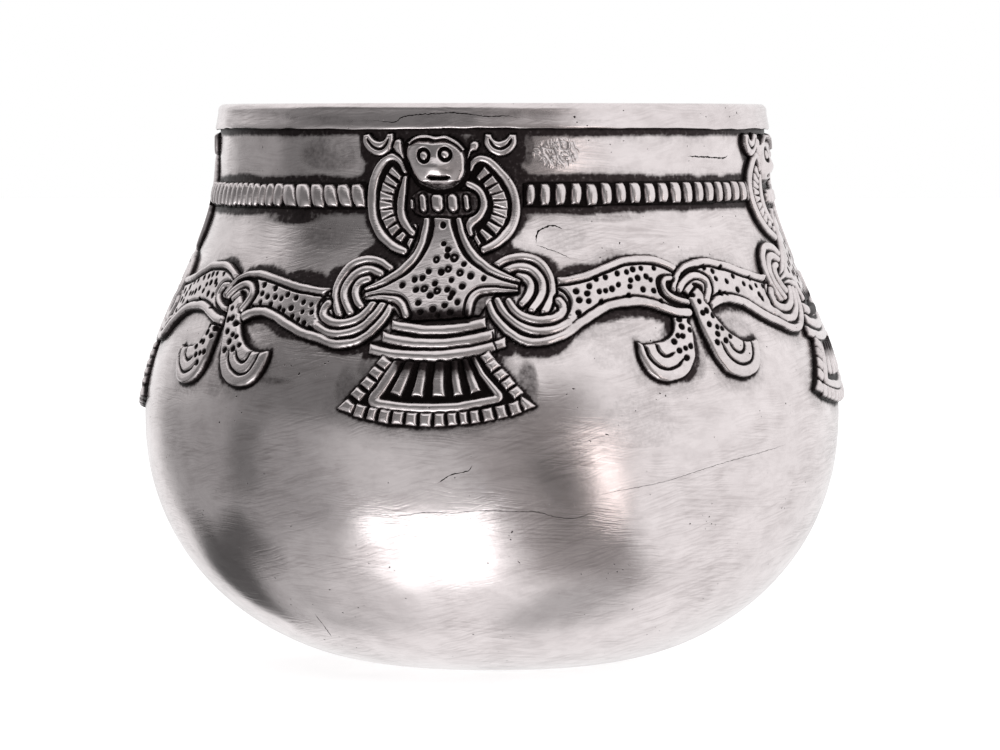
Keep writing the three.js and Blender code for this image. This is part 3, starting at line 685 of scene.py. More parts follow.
def ribbon_loop(place, name, drop=0.0):
    """The strands that run through a ring and on into a ribbon, which may hang lower."""
    ground(place, name, LOOP_STRANDS[0] + LOOP_STRANDS[2][::-1])
    groove(place, LOOP_LINE, LOOP_LINE_WIDTH)
    for strand in LOOP_STRANDS:
        strip(place, name, strand, LOOP_WIDTHS)
    strip(place, name, JOIN_PLATE, JOIN_PLATE_WIDTHS, JOIN_PLATE_TOPS, moat=0, melts=True)
    join = JOIN_START + JOIN_BORDER[place.side]
    join = [(u, level - drop * hang(QUARTER - KNOT_START - u)) for u, level in join]
    strip(place, name, join, JOIN_BORDER_WIDTHS, moat=0, melts=True)


# Tail: belt bars, then a fan of ribs in a frame, with blocks down both sides and along its foot
BELT_BARS = [
    # level of the middle, bend, half length, rise to the right
    (58.1, 0.019, 7.1, 0.01),
    (55.95, 0.0195, 8.3, 0.015),
    (54.05, 0.0165, 9.9, 0.037),
]
BELT_WIDTH = 1.6
BELT_FINISH = {"top": STRIP, "moat": 0.12, "bevel": 0.75, "drop": 0.4, "clean": STRIP_SHINE}
# Dark ground under the bars: its lower and upper edge as level, bend and half length
BELT_GROUND = ((54, 0.02, 10.3), (58.6, 0.0216, 7.6))
BELT_CRACK = [(8.7, 53.6), (8.55, 55), (8.2, 55.9), (7.9, 57.5)]
BELT_CRACK_WIDTH = 0.12
BELT_CRACK_DEPTH = 0.15
FAN_RIBS = [
    # top, foot, widths
    ((-3.1, 54.3), (-5.45, 48.1), (1.1, 1.75)),
    ((-1.5, 54.3), (-2.4, 47.8), (1.1, 1.75)),
    ((0.55, 54.3), (0.6, 47.8), (1.3, 1.8)),
    ((2.5, 54.3), (3.3, 47.9), (0.95, 1.4)),
    ((3.8, 54.3), (5.75, 48.3), (0.75, 1.5)),
]
RIB_FINISH = {"top": STRIP, "bevel": 0.55, "drop": 0.4, "clean": STRIP_SHINE}
# The painted shade over the ribs' upper ends, under the belt bars: strength, where it starts and how
# softly, up and to the sides
RIB_SHADE = 0.85
RIB_SHADE_FROM = 49.4
RIB_SHADE_RISE = 3.4
RIB_SHADE_HALF = 6.5
RIB_SHADE_SIDE = 1.5
FAN_FRAME = [
    (-4.9, 54.1), (-6.4, 51.2), (-7.5, 49.2), (-8.55, 47.2), (-5.9, 46.5), (-2.5, 46.1), (0.8, 46.05),
    (4.1, 46.4), (7.3, 47.05), (8.85, 47.6), (7.75, 49.4), (6.4, 51.4), (5.1, 54.0),
]
FAN_FRAME_WIDTHS = (1.2, 1.5, 1.5, 1.45, 1.45, 1.45, 1.3, 0.9, 0.8)
SIDE_BLOCKS = {
    1: [(7.3, 53.65), (8.1, 52.45), (9.1, 51), (10.1, 49.6), (11.15, 48.2)],
    -1: [(7.4, 53), (8.4, 51.45), (9.5, 49.85), (10.75, 48.2)],
}
SIDE_BLOCK_TALL = {1: 1.7, -1: 1.85}
SIDE_BLOCK_WIDE = {1: 1.52, -1: 1.62}
SIDE_SLANT = math.radians(-54)
CORNER_BLOCKS = {
    1: [(11.75, 47.75), (13.9, 46), (12.3, 45.35), (11.6, 46.7)],
    -1: [(12.2, 47.5), (13.9, 46), (11.6, 45.25), (10.9, 46.6)],
}
FOOT_BLOCKS = [-10.15, -8.6, -6.9, -4.95, -2.95, -1.05, 0.7, 2.6, 4.1, 5.6, 7.25, 9.2, 10.9]
FOOT_ENDS = (-11.1, 11.75)
FOOT_GAP = 0.32
FOOT_TALL = 2.05
FOOT_EDGE = (44.25, 0.0135)
BLOCK_FINISH = {"top": BLOCK, "bevel": 0.55, "drop": 0.45, "clean": STRIP_SHINE}
FAN_OUTLINE = [
    (-6.6, 54.6), (-7.4, 53.9), (-10, 50.9), (-13.9, 45.9), (-10.5, 44.5), (-7, 43.65), (-2.5, 43.15),
    (2, 43.2), (6.3, 43.8), (10.2, 44.75), (13.9, 45.9), (9.9, 51.4), (7.9, 54.1), (6.6, 54.8),
]


def arc(base, bend, half, rise=0.0, count=15):
    return [(u, base + bend * u * u + rise * u) for u in np.linspace(-half, half, count)]


def block(place, name, middle, width, tall, turn):
    """A small raised block, turned on the spot."""
    up = np.array([-math.sin(turn), math.cos(turn)]) * tall / 2
    wedge(place, name, middle + up, middle - up, (width, width), BLOCK_FINISH)


def tail_fan(turn, name):
    """The belt bars over the ribs, with the blocks round them."""
    place = Place(turn)
    lower, upper = BELT_GROUND
    ground(place, name, arc(*lower) + mirrored(arc(*upper)))
    ground(place, name, FAN_OUTLINE)
    for top, foot, widths in FAN_RIBS:
        wedge(place, name, top, foot, widths, RIB_FINISH)
    strip(place, name, FAN_FRAME, FAN_FRAME_WIDTHS, moat=0)
    # Painted shade over the ribs' upper ends, under the belt bars
    index, u, level = place.patch(FAN_OUTLINE, PATCH_REACH)
    rib_shade = RIB_SHADE * smooth((level - RIB_SHADE_FROM) / RIB_SHADE_RISE)
    darken(index, rib_shade * smooth((RIB_SHADE_HALF - np.abs(u)) / RIB_SHADE_SIDE))
    for base, bend, half, rise in BELT_BARS:
        foot = arc(base - BELT_WIDTH / 2, bend, half, rise)
        crown = arc(base + BELT_WIDTH / 2, bend, half, rise)
        plate(place, name, foot + crown[::-1], **BELT_FINISH)
    groove(place, BELT_CRACK, BELT_CRACK_WIDTH, BELT_CRACK_DEPTH)
    for side in SIDES:
        flank = Place(turn, side)
        for middle in SIDE_BLOCKS[side]:
            block(flank, name, middle, SIDE_BLOCK_WIDE[side], SIDE_BLOCK_TALL[side], SIDE_SLANT)
        plate(flank, name, CORNER_BLOCKS[side], **BLOCK_FINISH)
    first, last = FOOT_ENDS
    seams = between(FOOT_BLOCKS, first - FOOT_GAP / 2, last + FOOT_GAP / 2)
    for left, right in zip(seams[:-1], seams[1:]):
        u = (left + right) / 2
        middle = (u, FOOT_EDGE[0] + FOOT_EDGE[1] * u * u)
        turned = math.atan(2 * FOOT_EDGE[1] * u)
        block(place, name, middle, right - left - FOOT_GAP, FOOT_TALL, turned)


# Knot, measured along the frieze from a line just left of the figure's axis
KNOT_START = -0.85
LEFT_TOP = [
    (18.5, 65.8), (20, 65.9), (22, 66.2), (24, 66.6), (26, 67.3), (28, 67.9), (30, 68.6), (32, 68.8),
    (34, 68.8), (36, 68.6), (38, 67.9), (39.5, 67.1),
]
LEFT_FOOT = [
    (14, 55.7), (16, 55.8), (18, 56.3), (20, 57), (22, 58), (24, 59.2), (26, 60.2), (28, 60.7),
    (30, 60.9), (32, 60.9), (34, 60.5), (36, 59.8), (38, 59.1), (40, 58.8),
]
LEFT_EYE_RING = [
    (38.4, 65.5), (36.5, 65.3), (35.8, 64.5), (35.8, 63.3), (36.3, 62.3), (37.5, 61.4), (39, 60.8),
    (40.5, 60.4),
]
LEFT_HOOK = [(38.3, 65), (37.2, 64.9), (36.6, 64), (36.8, 63), (37.7, 62.2), (39.2, 61.5), (40.6, 61.1)]
LEFT_LENS = [(38, 64.8), (37.6, 63.8), (38.2, 62.9), (39.5, 62.3), (40.7, 62.1)]
LEFT_HOOK_WIDTH = 0.9
LEFT_HOOK_MOAT = 0.2
LEFT_EYE_WIDTH = 0.7
LEFT_LENS_WIDTH = 0.8
LEFT_PUNCHES = [
    (21.6, 63.5), (21.9, 62.1), (21.6, 60.1), (23.3, 63.1), (23.4, 61.9), (23.8, 64.2), (25.1, 65.2),
    (25.3, 63.3), (25.5, 61.7), (26.4, 63.4), (26.7, 65.5), (27.5, 63.7), (28.8, 66), (28.7, 64.3),
    (30.5, 66.2), (30.2, 62.5), (30.6, 63.9), (30.9, 64.9), (31.7, 66.6), (32.2, 65.2), (33.2, 66.7),
    (32.8, 63.4), (33.8, 65.4), (34.5, 64.9), (34.7, 63.2), (35.6, 66.7), (35.6, 61.5),
]
RIGHT_TOP = [
    (38.6, 64), (39.3, 65.2), (40.3, 66.3), (41.7, 67.2), (43.3, 67.7), (45, 67.95), (46.7, 67.95),
    (49, 67.55), (51.3, 67.05), (54, 66.2), (56.7, 65.6), (59.3, 65), (61.3, 64.7),
]
RIGHT_FOOT = [
    (45, 59.8), (46, 60.3), (47.3, 60.7), (49, 60.8), (50.3, 60.6), (52.7, 59.8), (54.7, 58.8),
    (56.7, 57.8), (58.7, 57), (60.7, 56.3), (62.3, 56), (64, 55.8),
]
RIGHT_STRAP = [
    (39.5, 63.2), (40.3, 64), (41.5, 64.8), (43, 65.3), (44.3, 65.1), (45.2, 64.4), (45.4, 63.3),
    (45, 62.3), (44.3, 61.3),
]
RIGHT_SHADE = [
    (40, 64.8), (41, 65.5), (42.5, 66), (44, 66), (45.5, 65.4), (46.3, 64.3), (46.3, 63.2), (45.7, 62),
    (44.8, 61),
]
RIGHT_HOLE = [(42.4, 63.9), (43.7, 63.6), (44, 62.8)]
RIGHT_STRAP_WIDTH = 1.1
RIGHT_STRAP_MOAT = 0.12
RIGHT_CUT = 0.9
RIGHT_PUNCHES = [
    (45.7, 66.5), (47.4, 65.7), (47.6, 64.5), (47.7, 62.3), (48.9, 62.2), (49.5, 66.3), (50, 64.1),
    (51.9, 64.8), (51.9, 62.6), (54, 63.5), (55.5, 62.8), (56.2, 64.3), (57.3, 63.1), (57.3, 61.6),
    (57.7, 61), (59.3, 62.9), (59.8, 61.5), (59.9, 60.1),
]
LAST_DROP = 0.6
# The ribbon that ends at the front figure's left was punched with smaller steps
LAST_RIGHT_PUNCHES = [
    (45.2, 65.3), (47.8, 65.1), (50.5, 64.6), (53.5, 63.6), (55.3, 63.1), (56.9, 62.4), (58.5, 62),
    (60.6, 62.7), (46.7, 63.8), (47.9, 63.7), (49.3, 63.2), (51, 63.2), (52.4, 63), (48.1, 62.3),
    (50.5, 62), (52.6, 61.5), (53.5, 61.1), (54.8, 61.5), (55.4, 60.2), (56.7, 59.7), (57.1, 60.9),
    (57.9, 59.2), (58.9, 60.8), (59.1, 58.5), (46.5, 61.6),
]
PENDANT_RIGHT_OUTER = [
    (40.8, 61.8), (41.2, 60), (41.8, 57), (42.5, 54.5), (43.3, 52.3), (44.7, 50.3), (46.3, 49.4),
    (48.2, 49.1), (50.2, 49.6), (51.6, 50.8), (52.4, 52.7), (52.7, 54.5),
]
PENDANT_RIGHT_TIP = [(52.6, 54.9), (51.4, 54.6), (49.9, 54.7), (49, 55)]
PENDANT_RIGHT_INNER = [(47.3, 55.9), (46, 57.3), (45, 59), (44.3, 61), (43.8, 62.5), (43, 63.5)]
PENDANT_RIGHT_GROOVES = [
    [(44.7, 54.6), (45.3, 52.8), (46.5, 51.5), (48, 51), (49.7, 51.5), (50.7, 53), (51.1, 54.8)],
    [(46.3, 54.5), (46.8, 53.5), (47.8, 52.9), (48.8, 53.3), (49.5, 54.8)],
]
PENDANT_RIGHT_PUNCHES = [
    (41.6, 62.3), (42.4, 61.1), (43.3, 59.6), (42.4, 59.3), (44.4, 58.8), (43.2, 57.5), (44.6, 57),
    (45.5, 56.7), (44.3, 55.9), (43.8, 54.6), (45.6, 54.8), (46.7, 55.4),
]
PENDANT_LEFT_OUTER = [
    (40, 59.6), (39.9, 57), (39.7, 54.5), (39.3, 52.5), (38, 50.6), (36.3, 49.5), (34.3, 49.1),
    (32.3, 49.7), (31, 51.3), (30.3, 53.3), (30.3, 54.7),
]
PENDANT_LEFT_TIP = [(30.2, 55.4), (31.1, 54.9), (32.3, 55)]
PENDANT_LEFT_INNER = [(34.5, 55.3), (35.8, 56), (36.8, 57.3), (37.2, 59.6)]
PENDANT_LEFT_GROOVES = [
    [(31.1, 55), (31.6, 53), (32.8, 51.5), (34.3, 50.9), (36, 51.3), (37, 52.2)],
    [(33, 54.8), (33.4, 53.5), (34.4, 52.9), (35.7, 53.3)],
]
PENDANT_LEFT_PUNCHES = [
    (37.8, 58.4), (39.5, 58), (37.9, 57.3), (39.2, 56.7), (36.9, 55.9), (37.7, 55.8), (36, 55),
    (36.6, 53.6), (37.7, 53.9), (38.7, 54.2), (37.6, 52.4),
]
PENDANT_FINISH = {"top": STRIP, "moat": MOAT, "bevel": 0.8, "drop": 0.4}
KNOT_PUNCH = 0.47


def knot(turn, number):
    place = Place(turn)

    def at(points):
        return shifted(points, KNOT_START)

    def lowered(points):
        drop = LAST_DROP if number == REPEATS else 0
        return [(u, level - drop * hang(u)) for u, level in points]

    def ribbon(name, top, foot):
        outline = at(np.vstack([curve(top), curve(foot)[::-1]]))
        plate(place, name, outline, PLATE, moat=MOAT)
        for points, width, way in ((top, FINE_BORDER, -1), (foot, BORDER, 1)):
            line = [(u, level + way * width / 2) for u, level in at(points)]
            strip(place, name, line, width)

    def pendant(side, outer, tip, inner, grooves, marks):
        outline = at(np.vstack([curve(outer), tip, curve(inner)]))
        plate(place, f"knot_{number}_pendant_{side}", outline, **PENDANT_FINISH)
        for line in grooves:
            groove(place, at(line))
        punches(place, at(marks), KNOT_PUNCH)

    left = f"knot_{number}_ribbon_left"
    right = f"knot_{number}_ribbon_right"
    pendant("left", PENDANT_LEFT_OUTER, PENDANT_LEFT_TIP, PENDANT_LEFT_INNER,
            PENDANT_LEFT_GROOVES, PENDANT_LEFT_PUNCHES)
    ribbon(left, LEFT_TOP, LEFT_FOOT)
    punches(place, at(LEFT_PUNCHES), KNOT_PUNCH)
    groove(place, at(LEFT_EYE_RING), LEFT_EYE_WIDTH)
    groove(place, at(LEFT_LENS), LEFT_LENS_WIDTH)
    ribbon(right, lowered(RIGHT_TOP), lowered(RIGHT_FOOT))
    marks = LAST_RIGHT_PUNCHES if number == REPEATS else RIGHT_PUNCHES
    punches(place, at(marks), KNOT_PUNCH)
    strip(place, left, at(LEFT_HOOK), LEFT_HOOK_WIDTH, moat=LEFT_HOOK_MOAT)
    pendant("right", PENDANT_RIGHT_OUTER, PENDANT_RIGHT_TIP, PENDANT_RIGHT_INNER,
            PENDANT_RIGHT_GROOVES, PENDANT_RIGHT_PUNCHES)
    groove(place, at(RIGHT_SHADE), RIGHT_CUT)
    groove(place, at(RIGHT_HOLE), RIGHT_CUT)
    strip(place, right, at(RIGHT_STRAP), RIGHT_STRAP_WIDTH, moat=RIGHT_STRAP_MOAT)


# Beaded wire between the wings: the middles of its beads, from the axis of the figure before it.
# The wire left of the front figure is the most worn one, and its last beads lean.
WIRE_LEVEL = 78.85
WIRE_TALL = 3.6
WIRE_END = 1.25
WIRE_BEADS = [
    14.5, 17, 19.6, 22.6, 25.4, 28.1, 30.7, 33.8, 36.7, 39.5, 42.4, 45.3, 48.1, 50.9, 53.6, 56.2, 59,
    61.9, 64.6,
]
WORN_WIRE = 4
WORN_BEADS = [
    13.6, 15.9, 18.2, 20.5, 22.9, 25.3, 27.5, 29.6, 31.8, 33.8, 36, 38, 39.9, 42, 44.3, 46.9, 50.8, 53.9,
    56.9, 59.6, 62.6,
]
WORN_FROM = 45.0
WORN_LEAN = 0.75
WIRE_SEED = 40
# Ranges that each bead's own shape is drawn from, and its gap on a worn wire or not
BEAD_GAP = {True: (0.3, 0.45), False: (0.65, 1.0)}
BEAD_BULGE = (0.15, 0.3)
BEAD_LEAN = (-0.08, 0.08)
BEAD_FOOT = (0, 0.25)
BEAD_CROWN = (0, 0.2)
# A bead's corners: side, shares of its lean and bulge, shift; share of its height, shift
BEAD_OUTLINE = [
    (0, 1, 0, 0.2, 0, 0), (0, 0.3, 0, 0, 0.5, -0.8), (0, -0.35, 0, 0, 0.5, 0.4), (0, -0.6, 0, 0.15, 1, 0),
    (1, -0.6, 0, -0.4, 1, 0), (1, -0.45, 0.4, 0, 1, -0.7), (1, -0.2, 1, 0, 0.5, 0),
    (1, 0.4, 0.4, 0, 0, 0.7), (1, 1, 0, -0.4, 0, 0),
]
BEAD_ROUND_U = 1.5
BEAD_ROUND_LEVEL = 1.4
BEAD_ROUND_END = 0.7
BEAD_FINISH = {"moat": 0, "bevel": 0.35, "drop": 0.25, "clean": STRIP_SHINE}


def beaded_wire(turn, number):
    place = Place(turn)
    name = f"beaded_wire_{number}"
    draw = np.random.default_rng(WIRE_SEED + number)
    worn = number == WORN_WIRE
    beads = WORN_BEADS if worn else WIRE_BEADS
    seams = between(beads, beads[0] - WIRE_END, beads[-1] + WIRE_END)
    low = WIRE_LEVEL - WIRE_TALL / 2
    high = WIRE_LEVEL + WIRE_TALL / 2
    ground(place, name, [(seams[0], low), (seams[-1], low), (seams[-1], high), (seams[0], high)])
    for left, right in zip(seams[:-1], seams[1:]):
        leaning = worn and left > WORN_FROM
        gap = draw.uniform(*BEAD_GAP[worn])
        ends = (left + gap / 2, right - gap / 2)
        bulge = draw.uniform(*BEAD_BULGE)
        lean = WORN_LEAN if leaning else draw.uniform(*BEAD_LEAN)
        foot = low + draw.uniform(*BEAD_FOOT)
        tall = high - draw.uniform(*BEAD_CROWN) - foot
        outline = [
            (ends[side] + lean * leans + bulge * bulges + aside, foot + tall * share + up)
            for side, leans, bulges, aside, share, up in BEAD_OUTLINE
        ]
        index, u, level = place.patch(outline, EDGE)
        rise = (level - foot) / tall - 0.5
        across = (u - sum(ends) / 2 + lean * rise) / (ends[1] - ends[0])
        across = np.clip(across, -BEAD_ROUND_END, BEAD_ROUND_END)
        dome = BEAD - BEAD_ROUND_U * across ** 2 - BEAD_ROUND_LEVEL * rise ** 2
        lay(index, name, within(outline, u, level), dome, **BEAD_FINISH)


def lay_frieze():
    """Lays every piece of the frieze, the lowest first."""
    turns = [FIRST_TURN + k * 2 * math.pi / REPEATS for k in range(REPEATS)]
    for number, turn in enumerate(turns, 1):
        knot(turn, number)
    for number, turn in enumerate(turns, 1):
        last_knot = (number - 2) % REPEATS + 1
        figure = f"figure_{number}"
        for side, word in SIDES.items():
            ring(Place(turn, side), f"{figure}_ring_{word}")
        drop = LAST_DROP if last_knot == REPEATS else 0
        ribbon_loop(Place(turn, -1), f"knot_{last_knot}_ribbon_right", drop)
        ribbon_loop(Place(turn, 1), f"knot_{number}_ribbon_left")
        tail_fan(turn, f"{figure}_tail_fan")
        for side, word in SIDES.items():
            wing(Place(turn, side, leans=True), f"{figure}_wing_{word}")
            crescent(Place(turn, side, leans=True), f"{figure}_crescent_{word}")
        torso(turn, f"{figure}_torso")
        mask(turn, f"{figure}_mask")
        beaded_wire(turn, number)


lay_frieze()

# Tarnish left on the skin beside the relief, partly painted shade where it widens under and between
# pieces, and painted shadow under the rim: near black in the corner, brown beyond it, with a frayed
# edge and a faint veil outside
HALO_MAX = 4.2
HALO_BROWN = 0.72
HALO_CORNER = 0.35
HALO_RAMP = 0.8
# How far the halo reaches and how much that frays: everywhere, more above ABOVE_FROM, under the rim
HALO_REACH = (0.45, 0.75, 1.15)
HALO_FRAY = (0.3, 0.25, 0.3)
WIDE_FRAY = 0.35
ABOVE_FROM = 70.0
ABOVE_RAMP = 6.0
FRAY = [(0.5, 9, 31), (0.4, 3, 32), (0.18, 0.8, 33)]
VEIL = 0.3
VEIL_MEAN = 0.75
VEIL_FRAY = 0.6
STAIN_AND_SHADE_FRAY = 0.7
RUBBED_MEAN = 0.07
RUBBED = [(0.07, 2.2, 34), (0.05, 0.7, 35)]
# Stains, some of them painted shade beside the relief: u and level from the front figure's axis,
# half sizes, strength
STAINS_AND_SHADE = [
    ((-30, 75.4, 9, 1.7), 0.8), ((-19.5, 75.9, 4.5, 1), 0.5), ((14, 86, 1.6, 3), 0.55),
    ((13.6, 77.2, 2, 3), 0.5), ((-22.5, 85.4, 7.5, 3.4), 0.4), ((-20.5, 72.4, 7, 2.8), 0.38),
    ((27, 54, 6, 4), 0.15), ((28.6, 42.6, 6.5, 6), 0.15), ((19, 72, 6, 3), 0.17),
    ((-25.8, 49.2, 4.5, 0.7), 0.46), ((-13, 48.2, 1.8, 4.2), 0.4), ((-31, 58, 2.6, 1.7), 0.42),
    ((12.8, 48.6, 1.7, 4.6), 0.5), ((38.7, 52.6, 2.4, 3.4), 0.42), ((48.5, 56.6, 4.5, 3.2), 0.3),
    ((-10.2, 51.6, 1.6, 2), 0.4), ((-41.8, 55.4, 3, 2.4), 0.48), ((-29.5, 55.5, 3, 2.2), 0.25),
    ((-37, 49.5, 2.5, 4), 0.25), ((24, 57.6, 9, 1.6), 0.2), ((27, 75.2, 9, 0.9), 0.24),
    ((16, 85.6, 3.4, 2.2), 0.26), ((-14.5, 84, 2.4, 4), 0.3),
]

# Where the halo of tarnish and painted shade is wider, the same way
WIDE_HALOS = [
    ((-21.5, 65.4, 6.5, 3), 1.7), ((-33, 67.5, 8, 2.5), 0.7), ((-28, 57.6, 7, 3), 0.7),
    ((-42, 55.5, 3, 2.5), 0.5), ((18.5, 66.8, 6, 3), 1.1), ((31, 59.2, 7, 3), 1.1),
    ((38.6, 52.5, 3, 5), 0.8), ((48, 57.2, 5, 3.5), 0.6), ((-37, 50, 2.5, 5), 0.5),
    ((11.9, 83.8, 2.4, 3.4), 1.1), ((-14.6, 83.8, 2.2, 3.4), 0.9), ((14, 54.6, 6, 2.6), 0.9),
    ((-13.5, 54, 5, 2), 0.6), ((-41, 67.8, 6, 2.2), 0.6), ((-10.6, 69.2, 4, 2.2), 1.4),
    ((8.8, 69.4, 4, 2.2), 1.4),
]


def away_from(marked, reach):
    """About how far in millimetres each cell of the canvas lies from the marked ones, up to a reach."""
    steps = round(reach / GRID)
    count = marked.astype(int)
    for step in range(steps - 1):
        grown = marked | np.roll(marked, 1, 1) | np.roll(marked, -1, 1)
        tall = grown if step % 2 else marked
        grown[1:] |= tall[:-1]
        grown[:-1] |= tall[1:]
        marked = grown
        count += marked
    return (steps - count) * GRID


def halo(away, reach):
    """Tarnish and painted shade from 1 to 0 at a distance from the relief, for a halo of this reach."""
    corner = 1 - smooth(away / HALO_CORNER)
    brown = HALO_BROWN * (1 - smooth((away - reach + HALO_CORNER) / HALO_RAMP))
    return np.maximum(corner, brown)


def tarnish_and_shade_canvas():
    """Darkens the skin beside the relief and under the rim with tarnish and painted shade, and gives the
    rubbed relief a thin film.
    """
    here = (canvas_angle, canvas_level)
    fray = uneven(*here, FRAY)
    above = smooth((canvas_level - ABOVE_FROM) / ABOVE_RAMP)
    wider = spots(*here, WIDE_HALOS)
    beside = away_from(owner > 0, HALO_MAX)
    under_rim = np.maximum(RIM_EDGE - canvas_level, 0)
    reach = HALO_REACH[0] + HALO_REACH[1] * above + wider
    ragged = HALO_FRAY[0] + HALO_FRAY[1] * above + WIDE_FRAY * wider
    near = 1 - smooth(np.minimum(beside, under_rim) / HALO_MAX)
    # Tarnish, with painted shade beside the relief and painted shadow under the rim
    stain_and_shade = np.maximum.reduce([
        halo(beside, reach + ragged * fray),
        halo(under_rim, HALO_REACH[2] + HALO_FRAY[2] * fray),
        VEIL * near * np.clip(VEIL_MEAN + VEIL_FRAY * fray, 0, 2 * VEIL_MEAN),
        spots(*here, STAINS_AND_SHADE, 1 + STAIN_AND_SHADE_FRAY * fray),
    ])
    film = RUBBED_MEAN + uneven(*here, RUBBED)
    return np.maximum(dark, np.where(owner > 0, film, stain_and_shade))


dark = tarnish_and_shade_canvas()


def mesh_object(name, points, faces, shade, material, node):
    """A piece of the cup. faces is a list of arrays, one for each number of corners."""
    corners = np.concatenate([part.ravel() for part in faces])
    sizes = np.concatenate([np.full(len(part), part.shape[1]) for part in faces])
    mesh = bpy.data.meshes.new(name)
    mesh.vertices.add(len(points))
    mesh.vertices.foreach_set("co", points.astype(np.float32).ravel())
    mesh.loops.add(len(corners))
    mesh.loops.foreach_set("vertex_index", corners.astype(np.int32))
    mesh.polygons.add(len(sizes))
    mesh.polygons.foreach_set("loop_start", (np.cumsum(sizes) - sizes).astype(np.int32))
    mesh.update(calc_edges=True)
    mesh.polygons.foreach_set("use_smooth", np.ones(len(sizes), dtype=bool))
    layer = mesh.attributes.new("dark", "FLOAT", "POINT")
    layer.data.foreach_set("value", shade.astype(np.float32).ravel())
    mesh.materials.append(material)
    piece = bpy.data.objects.new(name, mesh)
    bpy.context.scene.collection.objects.link(piece)
    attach(piece, "root")
    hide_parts(node)
    return piece


# Materials. A noise is its scale per metre, detail, roughness and offset.
CLOUD = ((70, 70, 150), 4.0)
RIPPLE = ((110, 110, 700), 2.0)
GRAIN = ((1500, 1500, 1500), 3.0)
SPECK = ((2100, 2100, 2100), 0.0)
CLUSTER = ((150, 150, 150), 1.0, 0.6, 0.5)
BLOTCH = ((260, 260, 460), 3.0, 0.65, 0.2)
PATCHES = ((90, 90, 130), 2.0, 0.6)
# Scratches: tilt in degrees, how many to a metre, seed
SCRATCHES = [(4, 3600, 0.31), (-17, 2800, 0.67)]
SCRATCH_LENGTH = 130
SCRATCH_DETAIL = 3.0
BEND_SCALE = 160.0
BEND = 0.0012
# Ranges of a noise, and what they become
SCRATCH_RANGE = (0.44, 0.64)
PATCH_RANGE = (0.42, 0.62)
CLUSTER_RANGE = (0.5, 0.72, 0.0, 0.1)
PIT_RANGE = (0.88, 0.91)
BLOTCH_RANGE = (0.42, 0.66, 0.0, 0.3)
CLOUD_RANGE = (0.35, 0.7, 0.0, 0.3)
BROWN_RANGE = (0.08, 0.68)
BLACK_RANGE = (0.68, 1.0)
SMOOTH_RANGE = (0.3, 0.7)
ROUGH_SPREAD = (-0.03, 0.05)
TARNISH_ROUGH = (0.1, 0.8, 0.0, 0.3)
NOISE_MIDDLE = 0.5
FRAY_TOP = 1.15
FRAY_GAIN = 1.7
PIT_SHADE = 0.8
BROWN = (0.045, 0.035, 0.036, 1)
BLACK = (0.01, 0.0075, 0.0075, 1)
SCRATCH_RISE = -0.5
RIPPLE_RISE = 0.7
GRAIN_RISE = 0.35
PIT_RISE = -1.5
BUMP_STRENGTH = 0.5
BUMP_HEIGHT = 0.00004
# A colour mix's sockets
MIX_SHARE, MIX_FIRST, MIX_SECOND, MIX_RESULT = 0, 6, 7, 2


class Nodes:
    """Adds nodes to a tree. An input is a plain value or another node's output."""

    def __init__(self, tree):
        self.tree = tree

    def add(self, kind, inputs=None, **settings):
        made = self.tree.nodes.new(kind)
        for key, value in settings.items():
            setattr(made, key, value)
        for key, value in (inputs or {}).items():
            if isinstance(value, bpy.types.NodeSocket):
                self.tree.links.new(value, made.inputs[key])
            else:
                made.inputs[key].default_value = value
        return made

    def math(self, operation, a, b=0.0):
        return self.add("ShaderNodeMath", {0: a, 1: b}, operation=operation).outputs[0]

    def times(self, a, b):
        return self.math("MULTIPLY", a, b)

    def plus(self, total, *others):
        for other in others:
            total = self.math("ADD", total, other)
        return total

    def ramp(self, value, low, high, start=0.0, end=1.0, **settings):
        """Goes from start to end while the value goes from low to high."""
        inputs = {"Value": value, "From Min": low, "From Max": high, "To Min": start, "To Max": end}
        return self.add("ShaderNodeMapRange", inputs, **settings).outputs[0]

    def blend(self, share, first, second):
        inputs = {MIX_SHARE: share, MIX_FIRST: first, MIX_SECOND: second}
        return self.add("ShaderNodeMix", inputs, data_type="RGBA").outputs[MIX_RESULT]


